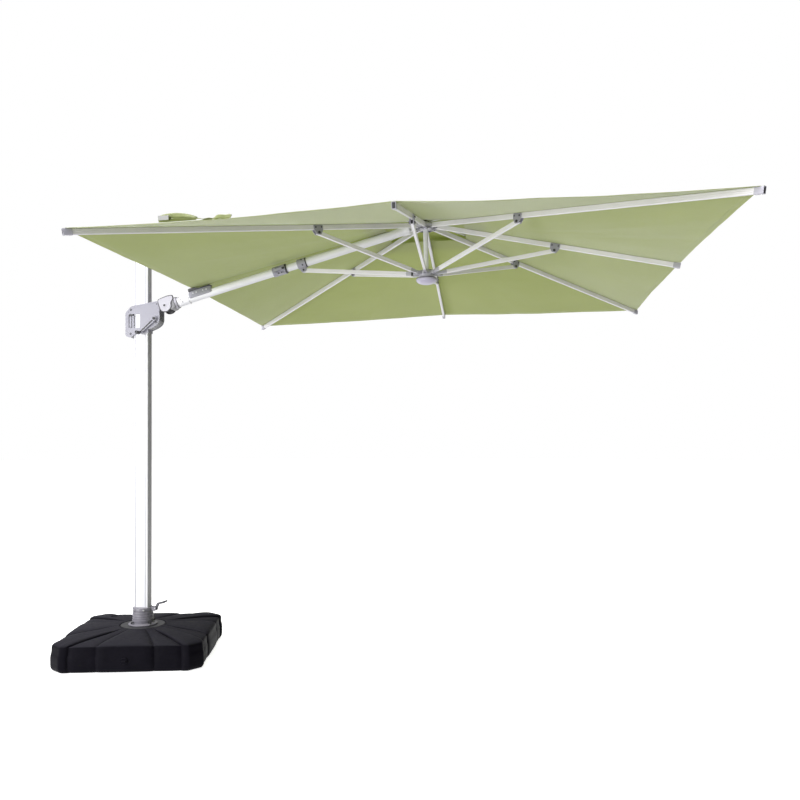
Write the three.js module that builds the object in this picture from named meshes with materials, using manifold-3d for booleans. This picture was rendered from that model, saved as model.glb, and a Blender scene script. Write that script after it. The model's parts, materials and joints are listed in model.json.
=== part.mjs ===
// Cantilever parasol: a weighted base, a turning mast, a housing that slides on the mast, and a
// tilting, twisting arm that carries a square eight-sided canopy and is itself the eighth rib.
// Millimetres, +Z up. The origin is the middle of the base's underside, on the mast's axis.
// +X runs from the mast to the canopy, so "right" is +X, "left" is -X, "near" is -Y, "far" is +Y.
import * as THREE from 'three';
import { mergeVertices } from 'three/addons/utils/BufferGeometryUtils.js';
import loadManifold from 'manifold-3d';

const wasm = await loadManifold();
wasm.setup();

const DEG = Math.PI / 180;
const GAP = 0.3;            // between pieces that touch

// ---- Driving dimensions ------------------------------------------------------------------------

// Base, turned on the mast's axis away from the canopy's sides
const BASE_TURN = 11.6 * DEG;
const BASE_HALF = 435;
const BASE_WALL = 4;
const BASE_TOP = 190;

// Mast
const MAST = { halfX: 46, halfY: 31, wall: 3, corner: 9, top: 2600 };

// Arm pivot on the housing, and the canopy's hub
const ARM_PIVOT = { x: 162.6, z: 2221.9 };
const HUB = { x: 1820.2, z: 2672.7 };
const CANOPY_TILT = 1.27 * DEG;

// Canopy: a square on eight ribs, whose tips hang below the hub
const CANOPY_HALF = 1500;
const CORNER_DROP = 343.5;
const MIDDLE_DROP = 314.5;
const FABRIC_ABOVE_RIB = 17.4;
const FABRIC_THICKNESS = 2;
const HEM_SCALLOP = 20;
const VENT_OPENING_HALF = 240;
const VENT_COVER = { hole: 12, half: 360, top: 47, flatness: 0.73 };
const VENT_ROD = { radius: 4, reach: 420, height: 27, slope: 5.4 * DEG };

// Hub, ribs and struts
const RIB_PIVOT_RADIUS = 60;
const RIB = { halfWidth: 8, halfHeight: 14, wall: 1.6 };
const RIB_PIN = { radius: 3, half: 14.5 };
const RIB_CHEEK = 4.5;
const STRUT = { halfWidth: 8, halfHeight: 12, wall: 1.6, tongueHalf: 8, tongue: 55 };
const STRUT_PIN_RADIUS = 4;
const STRUT_PIN_BELOW = 30;
const STRUT_PIN_BELOW_ARM = 44;
const STRUT_ALONG_MIDDLE = 735;
const STRUT_ALONG_CORNER = 728.5;
const STRUT_ALONG_ARM = 741;
const LOWER_PIVOT = { radius: 72, z: -285 };
const POST_RADIUS = 15;
const PIN_CLEARANCE = 0.5;

// Housing that slides on the mast
const HOUSING_HALF = 38;
const CRANK_AXIS = { x: 99, z: 2139.5 };
const CRANK_KNOB = { x: -2.5, z: 2049 };
const CRANK = { near: -54, far: -46, shaftRadius: 5.5 };
const ARM_PIVOT_RADIUS = 8;
const KNUCKLE = { inner: 39.5, outer: 44.5 };

// ---- Materials ---------------------------------------------------------------------------------

function finish(color, roughness, metalness) {
  return () => new THREE.MeshStandardMaterial({ color, roughness, metalness });
}

const blackPlastic = finish(0x1f1e24, 0.6, 0);
const greyPlastic = finish(0xc9c7d3, 0.5, 0);
const darkPlastic = finish(0x3a3a40, 0.6, 0);
const whiteMetal = finish(0xe6e6ea, 0.35, 0.4);
const silver = finish(0xc4c5cc, 0.35, 0.8);
const steel = finish(0x9b9ba2, 0.35, 0.9);
const sand = finish(0xb9a27c, 0.95, 0);
const fabric = finish(0x9fa981, 0.9, 0);

// ---- Geometry helpers --------------------------------------------------------------------------

function solidOf(geometry) {
  const bare = geometry.clone();
  bare.deleteAttribute('normal');
  bare.deleteAttribute('uv');
  const welded = mergeVertices(bare, 1e-4);
  return new wasm.Manifold(new wasm.Mesh({
    numProp: 3,
    vertProperties: Float32Array.from(welded.attributes.position.array),
    triVerts: Uint32Array.from(welded.index.array),
  }));
}

function geometryOf(solid) {
  const mesh = solid.getMesh();
  const geometry = new THREE.BufferGeometry();
  geometry.setAttribute('position', new THREE.BufferAttribute(mesh.vertProperties, 3));
  geometry.setIndex(new THREE.BufferAttribute(mesh.triVerts, 1));
  return geometry;
}

function join(...pieces) {
  return geometryOf(pieces.map(solidOf).reduce((whole, piece) => whole.add(piece)));
}

function cut(piece, ...tools) {
  return geometryOf(tools.map(solidOf).reduce((left, tool) => left.subtract(tool), solidOf(piece)));
}

function block(x0, x1, y0, y1, z0, z1) {
  const geometry = new THREE.BoxGeometry(x1 - x0, y1 - y0, z1 - z0);
  return geometry.translate((x0 + x1) / 2, (y0 + y1) / 2, (z0 + z1) / 2);
}

// A round bar along Y, at (x, z), between y0 and y1
function rodY(x, z, radius, y0, y1, sides = 16) {
  return new THREE.CylinderGeometry(radius, radius, y1 - y0, sides).translate(x, (y0 + y1) / 2, z);
}

// A round bar along X on the axis, between x0 and x1
function rodX(radius, x0, x1, sides = 32) {
  const geometry = new THREE.CylinderGeometry(radius, radius, x1 - x0, sides);
  return geometry.rotateZ(-Math.PI / 2).translate((x0 + x1) / 2, 0, 0);
}

// A round bar along Z, at (x, y), between z0 and z1
function rodZ(x, y, radius, z0, z1, sides = 24) {
  const geometry = new THREE.CylinderGeometry(radius, radius, z1 - z0, sides);
  return geometry.rotateX(Math.PI / 2).translate(x, y, (z0 + z1) / 2);
}

function tubeX(outer, inner, x0, x1, sides = 32) {
  return cut(rodX(outer, x0, x1, sides), rodX(inner, x0 - 1, x1 + 1, sides));
}

// A profile of [radius, z] points turned round Z
function turned(profile, sides = 32) {
  const points = profile.map(([radius, z]) => new THREE.Vector2(radius, z));
  return new THREE.LatheGeometry(points, sides).rotateX(Math.PI / 2);
}

// An outline of [x, z] points made into a plate between y0 and y1
function plateY(outline, y0, y1) {
  const shape = new THREE.Shape(outline.map(([x, z]) => new THREE.Vector2(x, z)));
  const geometry = new THREE.ExtrudeGeometry(shape, { depth: y1 - y0, bevelEnabled: false });
  return geometry.rotateX(Math.PI / 2).translate(0, y1, 0);
}

// Rings of points, all with the same count, skinned into one closed body
function skinned(rings) {
  const count = rings[0].length;
  const positions = rings.flat(2);
  const faces = [];
  for (let ring = 0; ring + 1 < rings.length; ring += 1) {
    for (let i = 0; i < count; i += 1) {
      const a = ring * count + i;
      const b = ring * count + (i + 1) % count;
      faces.push(a, b, b + count, a, b + count, a + count);
    }
  }
  const last = (rings.length - 1) * count;
  for (let i = 1; i + 1 < count; i += 1) {
    faces.push(0, i + 1, i);
    faces.push(last, last + i, last + i + 1);
  }
  const geometry = new THREE.BufferGeometry();
  geometry.setAttribute('position', new THREE.Float32BufferAttribute(positions, 3));
  geometry.setIndex(faces);
  return geometry;
}

// A rectangle with cut corners, as a ring at height z
function cutSquare(halfX, halfY, corner, z) {
  return [
    [halfX, -halfY + corner], [halfX, halfY - corner], [halfX - corner, halfY], [-halfX + corner, halfY],
    [-halfX, halfY - corner], [-halfX, -halfY + corner], [-halfX + corner, -halfY], [halfX - corner, -halfY],
  ].map(([x, y]) => [x, y, z]);
}

// A grid of points made into a sheet, its upper side on the points
function sheet(rows, thickness) {
  const columns = rows[0].length;
  const top = rows.flat();
  const under = top.map(([x, y, z]) => [x, y, z - thickness]);
  const faces = [];
  const quad = (a, b, c, d) => faces.push(a, b, c, a, c, d);
  const at = (row, column) => row * columns + column;
  const below = top.length;
  for (let r = 0; r + 1 < rows.length; r += 1) {
    for (let c = 0; c + 1 < columns; c += 1) {
      quad(at(r, c), at(r + 1, c), at(r + 1, c + 1), at(r, c + 1));
      quad(below + at(r, c), below + at(r, c + 1), below + at(r + 1, c + 1), below + at(r + 1, c));
    }
  }
  const rim = [];
  for (let c = 0; c + 1 < columns; c += 1) rim.push(at(0, c));
  for (let r = 0; r + 1 < rows.length; r += 1) rim.push(at(r, columns - 1));
  for (let c = columns - 1; c > 0; c -= 1) rim.push(at(rows.length - 1, c));
  for (let r = rows.length - 1; r > 0; r -= 1) rim.push(at(r, 0));
  rim.forEach((a, i) => {
    const b = rim[(i + 1) % rim.length];
    quad(a, b, below + b, below + a);
  });
  const geometry = new THREE.BufferGeometry();
  geometry.setAttribute('position', new THREE.Float32BufferAttribute([...top, ...under].flat(), 3));
  geometry.setIndex(faces);
  return geometry;
}

function add(parent, name, geometry, material) {
  const mesh = new THREE.Mesh(geometry, material());
  mesh.name = name;
  parent.add(mesh);
  return mesh;
}

// ---- Base --------------------------------------------------------------------------------------

const FILLER = { x: -250, y: 250, radius: 26, bottom: 160 };
const DRAIN = { z: 70, radius: 21, pocket: 1.5 };
const TANK_FLOOR = 6;
const TANK_RECESS = { radius: 142, depth: 8 };
const PLATE = { radius: 136, thickness: 6 };
const STUD = { circle: 82, radius: 5, length: 22 };
const SPIGOT = { radius: 28, height: 60 };
const FLANGE_HEIGHT = 11;

// One rod for each of the four studs, from z0 to z1
function studRods(radius, z0, z1) {
  return [45, 135, 225, 315].map((turn) => {
    const [x, y] = [Math.cos(turn * DEG) * STUD.circle, Math.sin(turn * DEG) * STUD.circle];
    return rodZ(x, y, radius, z0, z1, 12);
  });
}

function makeBase(parasol) {
  const base = new THREE.Group();
  base.rotation.z = BASE_TURN;
  parasol.add(base);

  // Outside of the tank from the floor up: inset foot, wall, shoulder, top
  const outside = [
    [0, BASE_HALF - 14, 64], [14, BASE_HALF - 3, 68], [24, BASE_HALF, 70], [146, BASE_HALF, 70],
    [163, BASE_HALF - 14, 66], [178, BASE_HALF - 62, 58], [BASE_TOP, BASE_HALF - 210, 40],
  ];
  const inside = outside.map(([z, half, corner], i) => {
    const lift = i === 0 ? TANK_FLOOR : -BASE_WALL;
    return [i === 0 ? z + lift : Math.max(z + lift, TANK_FLOOR + i), half - BASE_WALL, corner];
  });
  const loft = (levels) => skinned(levels.map(([z, half, corner]) => cutSquare(half, half, corner, z)));
  const recessFloor = BASE_TOP - TANK_RECESS.depth;
  const tank = cut(
    loft(outside),
    cut(loft(inside), rodZ(0, 0, TANK_RECESS.radius + 8, recessFloor - BASE_WALL, BASE_TOP, 32)),
    rodZ(0, 0, TANK_RECESS.radius, recessFloor, BASE_TOP + 1, 32),
    rodZ(FILLER.x, FILLER.y, FILLER.radius, FILLER.bottom - 10, BASE_TOP + 1, 20),
    block(-28, 28, -BASE_HALF - 1, -BASE_HALF + DRAIN.pocket, DRAIN.z - 28, DRAIN.z + 28),
  );
  add(base, 'base_tank', tank, blackPlastic);

  const fill = skinned([
    cutSquare(BASE_HALF - 24, BASE_HALF - 24, 62, TANK_FLOOR + 8),
    cutSquare(BASE_HALF - 10, BASE_HALF - 10, 68, 32),
    cutSquare(BASE_HALF - 10, BASE_HALF - 10, 68, 96),
  ]);
  add(base, 'sand_fill', fill, sand);

  const cap = rodZ(FILLER.x, FILLER.y, FILLER.radius - GAP, FILLER.bottom, BASE_TOP - 2, 20);
  const grip = block(FILLER.x - 20, FILLER.x + 20, FILLER.y - 4, FILLER.y + 4, BASE_TOP - 4, BASE_TOP + 3);
  add(base, 'filler_cap', join(cap, grip), blackPlastic);

  const plug = join(
    rodY(0, DRAIN.z, DRAIN.radius, -BASE_HALF - 6, -BASE_HALF + DRAIN.pocket - GAP, 20),
    block(-4, 4, -BASE_HALF - 14, -BASE_HALF - 5, DRAIN.z - 16, DRAIN.z + 16),
  );
  add(base, 'drain_plug', plug, blackPlastic);

  // Steel plate in the tank's recess, with four studs for the swivel's flange
  const plateTop = recessFloor + GAP + PLATE.thickness;
  const plate = rodZ(0, 0, PLATE.radius, recessFloor + GAP, plateTop, 32);
  const studs = studRods(STUD.radius, plateTop - 1, plateTop + STUD.length);
  add(base, 'anchor_plate', join(plate, ...studs), steel);

  // Fixed half of the swivel: a flange on the studs and a spigot inside the turning collar
  const flangeBottom = plateTop + GAP;
  const flangeTop = flangeBottom + FLANGE_HEIGHT;
  const spigotTop = flangeBottom + SPIGOT.height;
  const flange = turned([
    [0, flangeBottom], [96, flangeBottom], [96, flangeTop - 3], [66, flangeTop],
    [SPIGOT.radius, flangeTop], [SPIGOT.radius, spigotTop], [0, spigotTop],
  ], 32);
  const holes = studRods(STUD.radius + PIN_CLEARANCE, flangeBottom - 1, flangeTop + 1);
  add(base, 'swivel_flange', cut(flange, ...holes), silver);
  return flangeTop;
}

// ---- Mast --------------------------------------------------------------------------------------

const PEDAL_PIVOT = { x: 84, z: 292, radius: 4 };
const MAST_SOCKET = 51;     // the mast's lower end above the collar's

function makeMast(parasol, flangeTop) {
  const mast = new THREE.Group();
  parasol.add(mast);
  const bottom = flangeTop + GAP;

  // Turning collar: a ringed sleeve that the mast stands in, with two ears for the pedal
  const collar = join(
    turned([
      [0, bottom], [62, bottom], [66, bottom + 8], [66, bottom + 24], [62, bottom + 28], [62, bottom + 58],
      [65, bottom + 62], [65, bottom + 94], [60, bottom + 100], [0, bottom + 100],
    ], 32),
    block(58, 94, -15, -8, 276, 303),
    block(58, 94, 8, 15, 276, 303),
  );
  const sleeve = cut(
    collar,
    rodZ(0, 0, SPIGOT.radius + 0.6, bottom - 1, bottom + MAST_SOCKET + 1, 32),
    skinned([
      cutSquare(MAST.halfX + GAP, MAST.halfY + GAP, MAST.corner, bottom + MAST_SOCKET),
      cutSquare(MAST.halfX + GAP, MAST.halfY + GAP, MAST.corner, bottom + 120),
    ]),
    rodY(PEDAL_PIVOT.x, PEDAL_PIVOT.z, PEDAL_PIVOT.radius + PIN_CLEARANCE, -20, 20, 12),
  );
  add(mast, 'swivel_collar', sleeve, greyPlastic);

  const mastBottom = bottom + MAST_SOCKET + GAP;
  const innerCorner = MAST.corner - MAST.wall / 2;
  const tube = cut(
    skinned([
      cutSquare(MAST.halfX, MAST.halfY, MAST.corner, mastBottom),
      cutSquare(MAST.halfX, MAST.halfY, MAST.corner, MAST.top),
    ]),
    skinned([
      cutSquare(MAST.halfX - MAST.wall, MAST.halfY - MAST.wall, innerCorner, mastBottom - 1),
      cutSquare(MAST.halfX - MAST.wall, MAST.halfY - MAST.wall, innerCorner, MAST.top + 1),
    ]),
  );
  add(mast, 'mast_tube', tube, whiteMetal);

  const cap = skinned([
    cutSquare(MAST.halfX, MAST.halfY, MAST.corner, MAST.top + GAP),
    cutSquare(MAST.halfX, MAST.halfY, MAST.corner, MAST.top + 16),
    cutSquare(MAST.halfX - 8, MAST.halfY - 8, MAST.corner - 3, MAST.top + 22),
  ]);
  const plugHalf = [MAST.halfX - 8, MAST.halfY - 8];
  const plug = block(-plugHalf[0], plugHalf[0], -plugHalf[1], plugHalf[1], MAST.top - 20, MAST.top + 1);
  add(mast, 'mast_top_cap', join(cap, plug), greyPlastic);

  add(mast, 'pedal_pin', rodY(PEDAL_PIVOT.x, PEDAL_PIVOT.z, PEDAL_PIVOT.radius, -17, 17, 12), steel);

  // Foot pedal: a tongue between the ears, an upward sweep and a tread
  const profile = [
    [74, 283], [88, 282], [104, 292], [120, 318], [138, 334], [160, 339],
    [160, 345], [136, 341], [114, 324], [98, 304], [80, 302], [74, 296],
  ];
  const pedal = cut(
    join(plateY(profile, -7.6, 7.6), block(132, 160, -24, 24, 335.5, 345)),
    rodY(PEDAL_PIVOT.x, PEDAL_PIVOT.z, PEDAL_PIVOT.radius + PIN_CLEARANCE, -20, 20, 12),
  );
  add(mast, 'foot_pedal', pedal, greyPlastic);
}

// ---- Sliding housing, trigger and crank --------------------------------------------------------

// Window in the housing's left end, where a hand grips it and squeezes the trigger
const WINDOW = { x0: -79, x1: -3, z0: 2083, z1: 2172 };
const TRIGGER = { x0: -83.5, x1: -73.5, halfWidth: 33 };
const DRUM = { flange: 20, core: 12, half: 30 };
const LUG = { radius: 17, halfWidth: 15 };
const LINER = { halfX: 49.6, halfY: 34, wall: 3, bottom: 2052, top: 2215 };
const HOUSING_OUTLINE = [
  [-101, 2032], [-72, 2021], [-30, 2044], [40, 2067], [92, 2088], [118, 2108], [127, 2132], [127, 2240],
  [115, 2252], [-40, 2226], [-66, 2219], [-101, 2181],
];

function makeHousing(parasol) {
  const housing = new THREE.Group();
  parasol.add(housing);
  const { x, z } = ARM_PIVOT;
  const lug = (y0, y1) => join(
    plateY([[118, 2192], [x, z - LUG.radius], [x, z + LUG.radius], [118, 2242]], y0, y1),
    rodY(x, z, LUG.radius, y0, y1, 24),
  );
  const linerSpace = [LINER.halfX + 0.4, LINER.halfY + 0.4];
  const mastHole = block(-linerSpace[0], linerSpace[0], -linerSpace[1], linerSpace[1], 1900, 2400);
  const window = block(WINDOW.x0, WINDOW.x1, -60, 60, WINDOW.z0, WINDOW.z1);
  const triggerPocket = block(
    TRIGGER.x0 - 9, -LINER.halfX, -TRIGGER.halfWidth - 0.8, TRIGGER.halfWidth + 0.8, WINDOW.z0, WINDOW.z1,
  );
  const shell = (y0, y1) => cut(
    join(plateY(HOUSING_OUTLINE, y0, y1), lug(Math.max(y0, -LUG.halfWidth), Math.min(y1, LUG.halfWidth))),
    mastHole,
    triggerPocket,
    window,
    rodY(CRANK_AXIS.x, CRANK_AXIS.z, DRUM.flange + 1.5, -DRUM.half - 1, DRUM.half + 1, 24),
    rodY(x, z, ARM_PIVOT_RADIUS + PIN_CLEARANCE, -60, 60, 20),
  );
  const shaftHole = rodY(CRANK_AXIS.x, CRANK_AXIS.z, CRANK.shaftRadius + PIN_CLEARANCE, -60, 0, 16);
  add(housing, 'housing_near_shell', cut(shell(-HOUSING_HALF, -GAP / 2), shaftHole), greyPlastic);
  add(housing, 'housing_far_shell', shell(GAP / 2, HOUSING_HALF), greyPlastic);

  const mastSpace = [MAST.halfX + 0.6, MAST.halfY + 0.6];
  const liner = cut(
    block(-LINER.halfX, LINER.halfX, -LINER.halfY, LINER.halfY, LINER.bottom, LINER.top),
    block(-mastSpace[0], mastSpace[0], -mastSpace[1], mastSpace[1], LINER.bottom - 1, LINER.top + 1),
    window,
  );
  add(housing, 'slide_liner', liner, darkPlastic);
  const pinHalf = KNUCKLE.outer + 0.5;
  add(housing, 'arm_pivot_pin', rodY(x, z, ARM_PIVOT_RADIUS, -pinHalf, pinHalf, 20), steel);

  const trigger = block(
    TRIGGER.x0, TRIGGER.x1, -TRIGGER.halfWidth, TRIGGER.halfWidth, WINDOW.z0 + 2, WINDOW.z1 - 2,
  );
  add(housing, 'release_trigger', trigger, darkPlastic);

  // Cord drum inside the housing, its shaft through the near shell, and the crank on the shaft
  const { flange, core, half } = DRUM;
  const drum = turned([
    [0, -half], [flange, -half], [flange, 4 - half], [core, 5 - half],
    [core, half - 5], [flange, half - 4], [flange, half], [0, half],
  ], 24).rotateX(-Math.PI / 2).translate(CRANK_AXIS.x, 0, CRANK_AXIS.z);
  const shaft = rodY(CRANK_AXIS.x, CRANK_AXIS.z, CRANK.shaftRadius, CRANK.far + GAP, 1 - half, 16);
  add(housing, 'cord_drum', join(drum, shaft), darkPlastic);

  const reach = Math.hypot(CRANK_KNOB.x - CRANK_AXIS.x, CRANK_KNOB.z - CRANK_AXIS.z);
  const lever = plateY([[0, -14], [reach, -9], [reach, 9], [0, 14]], CRANK.near, CRANK.far);
  const crank = join(
    lever,
    rodY(0, 0, 14, CRANK.near, CRANK.far, 24),
    rodY(reach, 0, 9, CRANK.near, CRANK.far, 20),
    rodY(reach, 0, 4, CRANK.near - 36, CRANK.near + 1, 12),
  );
  crank.rotateY(-Math.atan2(CRANK_KNOB.z - CRANK_AXIS.z, CRANK_KNOB.x - CRANK_AXIS.x));
  add(housing, 'crank_arm', crank.translate(CRANK_AXIS.x, 0, CRANK_AXIS.z), greyPlastic);

  const knob = turned([
    [0, 36.8], [4.4, 36.8], [4.4, 0.5], [9, 0.5], [11.5, 6], [9.5, 18], [11.5, 32], [8, 40], [0, 40],
  ], 20).rotateX(Math.PI / 2).translate(CRANK_KNOB.x, CRANK.near, CRANK_KNOB.z);
  add(housing, 'crank_knob', knob, darkPlastic);
}

// ---- Arm ---------------------------------------------------------------------------------------

// The hub's hinge on the arm, which the arm's axis passes through
const HUB_HINGE = {
  x: HUB.x - RIB_PIVOT_RADIUS * Math.cos(CANOPY_TILT),
  z: HUB.z - RIB_PIVOT_RADIUS * Math.sin(CANOPY_TILT),
};
const ARM_RISE = Math.atan2(HUB_HINGE.z - ARM_PIVOT.z, HUB_HINGE.x - ARM_PIVOT.x);
const ARM_LENGTH = Math.hypot(HUB_HINGE.z - ARM_PIVOT.z, HUB_HINGE.x - ARM_PIVOT.x);
const ARM_TUBE = { lower: 25, inner: 22.5, upper: 26 };
const TWIST_COLLAR = { start: 726, joint: 735, end: 818, radius: 31 };
const STRUT_COLLAR = { at: ARM_LENGTH - STRUT_ALONG_ARM, half: 30, radius: 31 };
const INNER_TUBE = { start: 640, end: 1010 };
const SADDLE = { start: 164, end: 318 };
const ARM_HEAD = { start: 1586, tubeEnd: 1598, fork: 1620 };
const HUB_HINGE_RADIUS = 5;
const HUB_HINGE_HALF = 24;

function makeArm(parasol) {
  const arm = new THREE.Group();
  arm.position.set(ARM_PIVOT.x, 0, ARM_PIVOT.z);
  arm.rotation.y = -ARM_RISE;
  parasol.add(arm);

  // Knuckle: two cheeks outside the housing, a web beyond its lug and a socket for the tube
  const cheek = [[-40, 20], [-34, 46], [30, 50], [64, 46], [64, -20], [30, -36], [-6, -36], [-30, -24]];
  const knuckle = cut(
    join(
      plateY(cheek, KNUCKLE.inner, KNUCKLE.outer),
      plateY(cheek, -KNUCKLE.outer, -KNUCKLE.inner),
      plateY([[26, 46], [64, 44], [64, -28], [26, -34]], -KNUCKLE.outer, KNUCKLE.outer),
      rodX(34, 62, 82),
      rodX(28.5, 80, 158),
    ),
    rodX(ARM_TUBE.lower + GAP, 40, 160),
    rodY(0, 0, ARM_PIVOT_RADIUS + PIN_CLEARANCE, -60, 60, 20),
  );
  add(arm, 'arm_knuckle', knuckle, greyPlastic);
  const lowerTube = tubeX(ARM_TUBE.lower, ARM_TUBE.lower - 2, 41, TWIST_COLLAR.joint);
  add(arm, 'lower_arm_tube', lowerTube, whiteMetal);

  // Twist collar: clamps the turning inner tube in the lower tube, with ears for its lever
  const leverX = TWIST_COLLAR.start + 18;
  const collar = cut(
    join(
      rodX(TWIST_COLLAR.radius, TWIST_COLLAR.start, TWIST_COLLAR.end),
      block(leverX - 9, leverX + 9, -42, -20, 9, 15),
      block(leverX - 9, leverX + 9, -42, -20, -15, -9),
    ),
    rodX(ARM_TUBE.lower + GAP, TWIST_COLLAR.start - 1, TWIST_COLLAR.joint + GAP),
    rodX(ARM_TUBE.inner + GAP, TWIST_COLLAR.start, TWIST_COLLAR.end + 1),
    block(leverX - 12, leverX + 12, -60, -TWIST_COLLAR.radius - GAP, -8.6, 8.6),
  );
  add(arm, 'twist_collar', collar, greyPlastic);
  const lever = join(
    rodZ(leverX, -37, 4.4, -8, 8, 12),
    block(leverX, leverX + 66, -41.4, -33, -8, 8),
    rodZ(leverX + 66, -37.2, 4.2, -8, 8, 12),
  );
  add(arm, 'twist_lock_lever', lever, darkPlastic);

  // Turning half of the arm
  const innerTube = tubeX(ARM_TUBE.inner, ARM_TUBE.inner - 2, INNER_TUBE.start, INNER_TUBE.end);
  add(arm, 'inner_arm_tube', innerTube, whiteMetal);
  const upperStart = STRUT_COLLAR.at + 16;
  const upperTube = tubeX(ARM_TUBE.upper, ARM_TUBE.inner + GAP, upperStart, ARM_HEAD.tubeEnd);
  add(arm, 'upper_arm_tube', upperTube, whiteMetal);

  const collarEnds = [STRUT_COLLAR.at - STRUT_COLLAR.half, STRUT_COLLAR.at + STRUT_COLLAR.half];
  const strutCollar = cut(
    join(
      rodX(STRUT_COLLAR.radius, ...collarEnds),
      block(STRUT_COLLAR.at - 19, STRUT_COLLAR.at + 19, -14, 14, -STRUT_PIN_BELOW_ARM - 13, -20),
    ),
    rodX(ARM_TUBE.inner + GAP, collarEnds[0] - 1, collarEnds[1] + 1),
    rodX(ARM_TUBE.upper + GAP, upperStart - GAP, collarEnds[1] + 1),
    block(STRUT_COLLAR.at - 30, STRUT_COLLAR.at + 30, -8.6, 8.6, -80, -STRUT_COLLAR.radius - 0.5),
    rodY(STRUT_COLLAR.at, -STRUT_PIN_BELOW_ARM, STRUT_PIN_RADIUS + PIN_CLEARANCE, -30, 30, 12),
  );
  add(arm, 'strut_collar', strutCollar, greyPlastic);

  // Saddle that rests on the lower tube and holds the canopy's left point above it
  const saddle = cut(
    join(
      rodX(ARM_TUBE.lower + 6, SADDLE.start, SADDLE.end),
      block(SADDLE.start + 6, SADDLE.end - 6, -17, 17, 10, 44),
      plateY([[168, 40], [240, 40], [200, 61], [168, 61]], -22, 22),
    ),
    rodX(ARM_TUBE.lower + 2 * GAP, SADDLE.start - 1, SADDLE.end + 1),
    block(SADDLE.start - 1, SADDLE.end + 1, -60, 60, -60, 0),
  );
  add(arm, 'tip_saddle', saddle, greyPlastic);

  const head = cut(
    join(
      rodX(30, ARM_HEAD.start, ARM_HEAD.fork),
      block(ARM_HEAD.fork - 20, ARM_LENGTH, -RIB.halfWidth, RIB.halfWidth, -15, 15),
      rodY(ARM_LENGTH, 0, 15, -RIB.halfWidth, RIB.halfWidth, 20),
    ),
    rodX(ARM_TUBE.upper + GAP, ARM_HEAD.start - 1, ARM_HEAD.tubeEnd + GAP),
    rodY(ARM_LENGTH, 0, HUB_HINGE_RADIUS + PIN_CLEARANCE, -30, 30, 16),
  );
  add(arm, 'arm_head', head, greyPlastic);
}

// ---- Hub, ribs and struts ----------------------------------------------------------------------

// The canopy's eight directions, from +X towards far, with their rib or, for "arm", the arm itself
const SPOKES = ['right', 'far_right', 'far', 'far_left', 'arm', 'near_left', 'near', 'near_right'];
const isCorner = (index) => index % 2 === 1;
const azimuth = (index) => index * 45 * DEG;
const spread = (index) => (isCorner(index) ? Math.SQRT2 : 1);
const tipRadius = (index) => CANOPY_HALF * spread(index);
const tipDrop = (index) => (isCorner(index) ? CORNER_DROP : MIDDLE_DROP);

function spokeSlope(index) {
  if (SPOKES[index] === 'arm') return ARM_RISE - CANOPY_TILT;
  return Math.atan2(tipDrop(index), tipRadius(index) - RIB_PIVOT_RADIUS);
}

// A strut's upper pin in its spoke's plane, as radius and height from the hub
function upperPin(index) {
  const slope = spokeSlope(index);
  const isArm = SPOKES[index] === 'arm';
  const along = isArm ? STRUT_ALONG_ARM : isCorner(index) ? STRUT_ALONG_CORNER : STRUT_ALONG_MIDDLE;
  const below = isArm ? STRUT_PIN_BELOW_ARM : STRUT_PIN_BELOW;
  return {
    along,
    radius: RIB_PIVOT_RADIUS + along * Math.cos(slope) - below * Math.sin(slope),
    z: -along * Math.sin(slope) - below * Math.cos(slope),
  };
}

function ribGeometry(index) {
  const length = Math.hypot(tipRadius(index) - RIB_PIVOT_RADIUS, tipDrop(index));
  const { halfWidth, halfHeight, wall } = RIB;
  const { along } = upperPin(index);
  const bar = cut(
    join(
      block(0, length, -halfWidth, halfWidth, -halfHeight, halfHeight),
      rodY(0, 0, halfHeight, -halfWidth, halfWidth, 16),
    ),
    block(40, length + 1, wall - halfWidth, halfWidth - wall, wall - halfHeight, halfHeight - wall),
  );
  const cheek = [
    [along - 27, 10], [along - 27, -16], [along - 12, -STRUT_PIN_BELOW - 12],
    [along + 12, -STRUT_PIN_BELOW - 12], [along + 27, -16], [along + 27, 10],
  ];
  return cut(
    join(
      bar,
      plateY(cheek, halfWidth - 0.2, halfWidth + RIB_CHEEK),
      plateY(cheek, -halfWidth - RIB_CHEEK, 0.2 - halfWidth),
      rodY(0, 0, RIB_PIN.radius, -RIB_PIN.half, RIB_PIN.half, 8),
    ),
    rodY(along, -STRUT_PIN_BELOW, STRUT_PIN_RADIUS + PIN_CLEARANCE, -30, 30, 8),
    block(along - 40, along + 40, -halfWidth - 0.6, halfWidth + 0.6, -80, -halfHeight - 0.01),
  );
}

// A strut from its upper pin, at the origin, to its lower end at +X
function strutGeometry(length) {
  const { halfWidth, halfHeight, wall, tongue, tongueHalf } = STRUT;
  const barEnd = length - tongue;
  return cut(
    join(
      block(0, barEnd, -halfWidth, halfWidth, -halfHeight, halfHeight),
      rodY(0, 0, halfHeight, -halfWidth, halfWidth, 12),
      rodY(0, 0, STRUT_PIN_RADIUS, 0.2 - halfWidth - RIB_CHEEK, halfWidth + RIB_CHEEK - 0.2, 8),
      block(barEnd - 1, length, -halfWidth, halfWidth, -tongueHalf, tongueHalf),
      rodY(length, 0, tongueHalf, -halfWidth, halfWidth, 12),
    ),
    block(20, barEnd - 8, -halfWidth + wall, halfWidth - wall, -halfHeight + wall, halfHeight - wall),
    rodZ(60, 0, 2.5, 0, 20, 6),
  );
}

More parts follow.
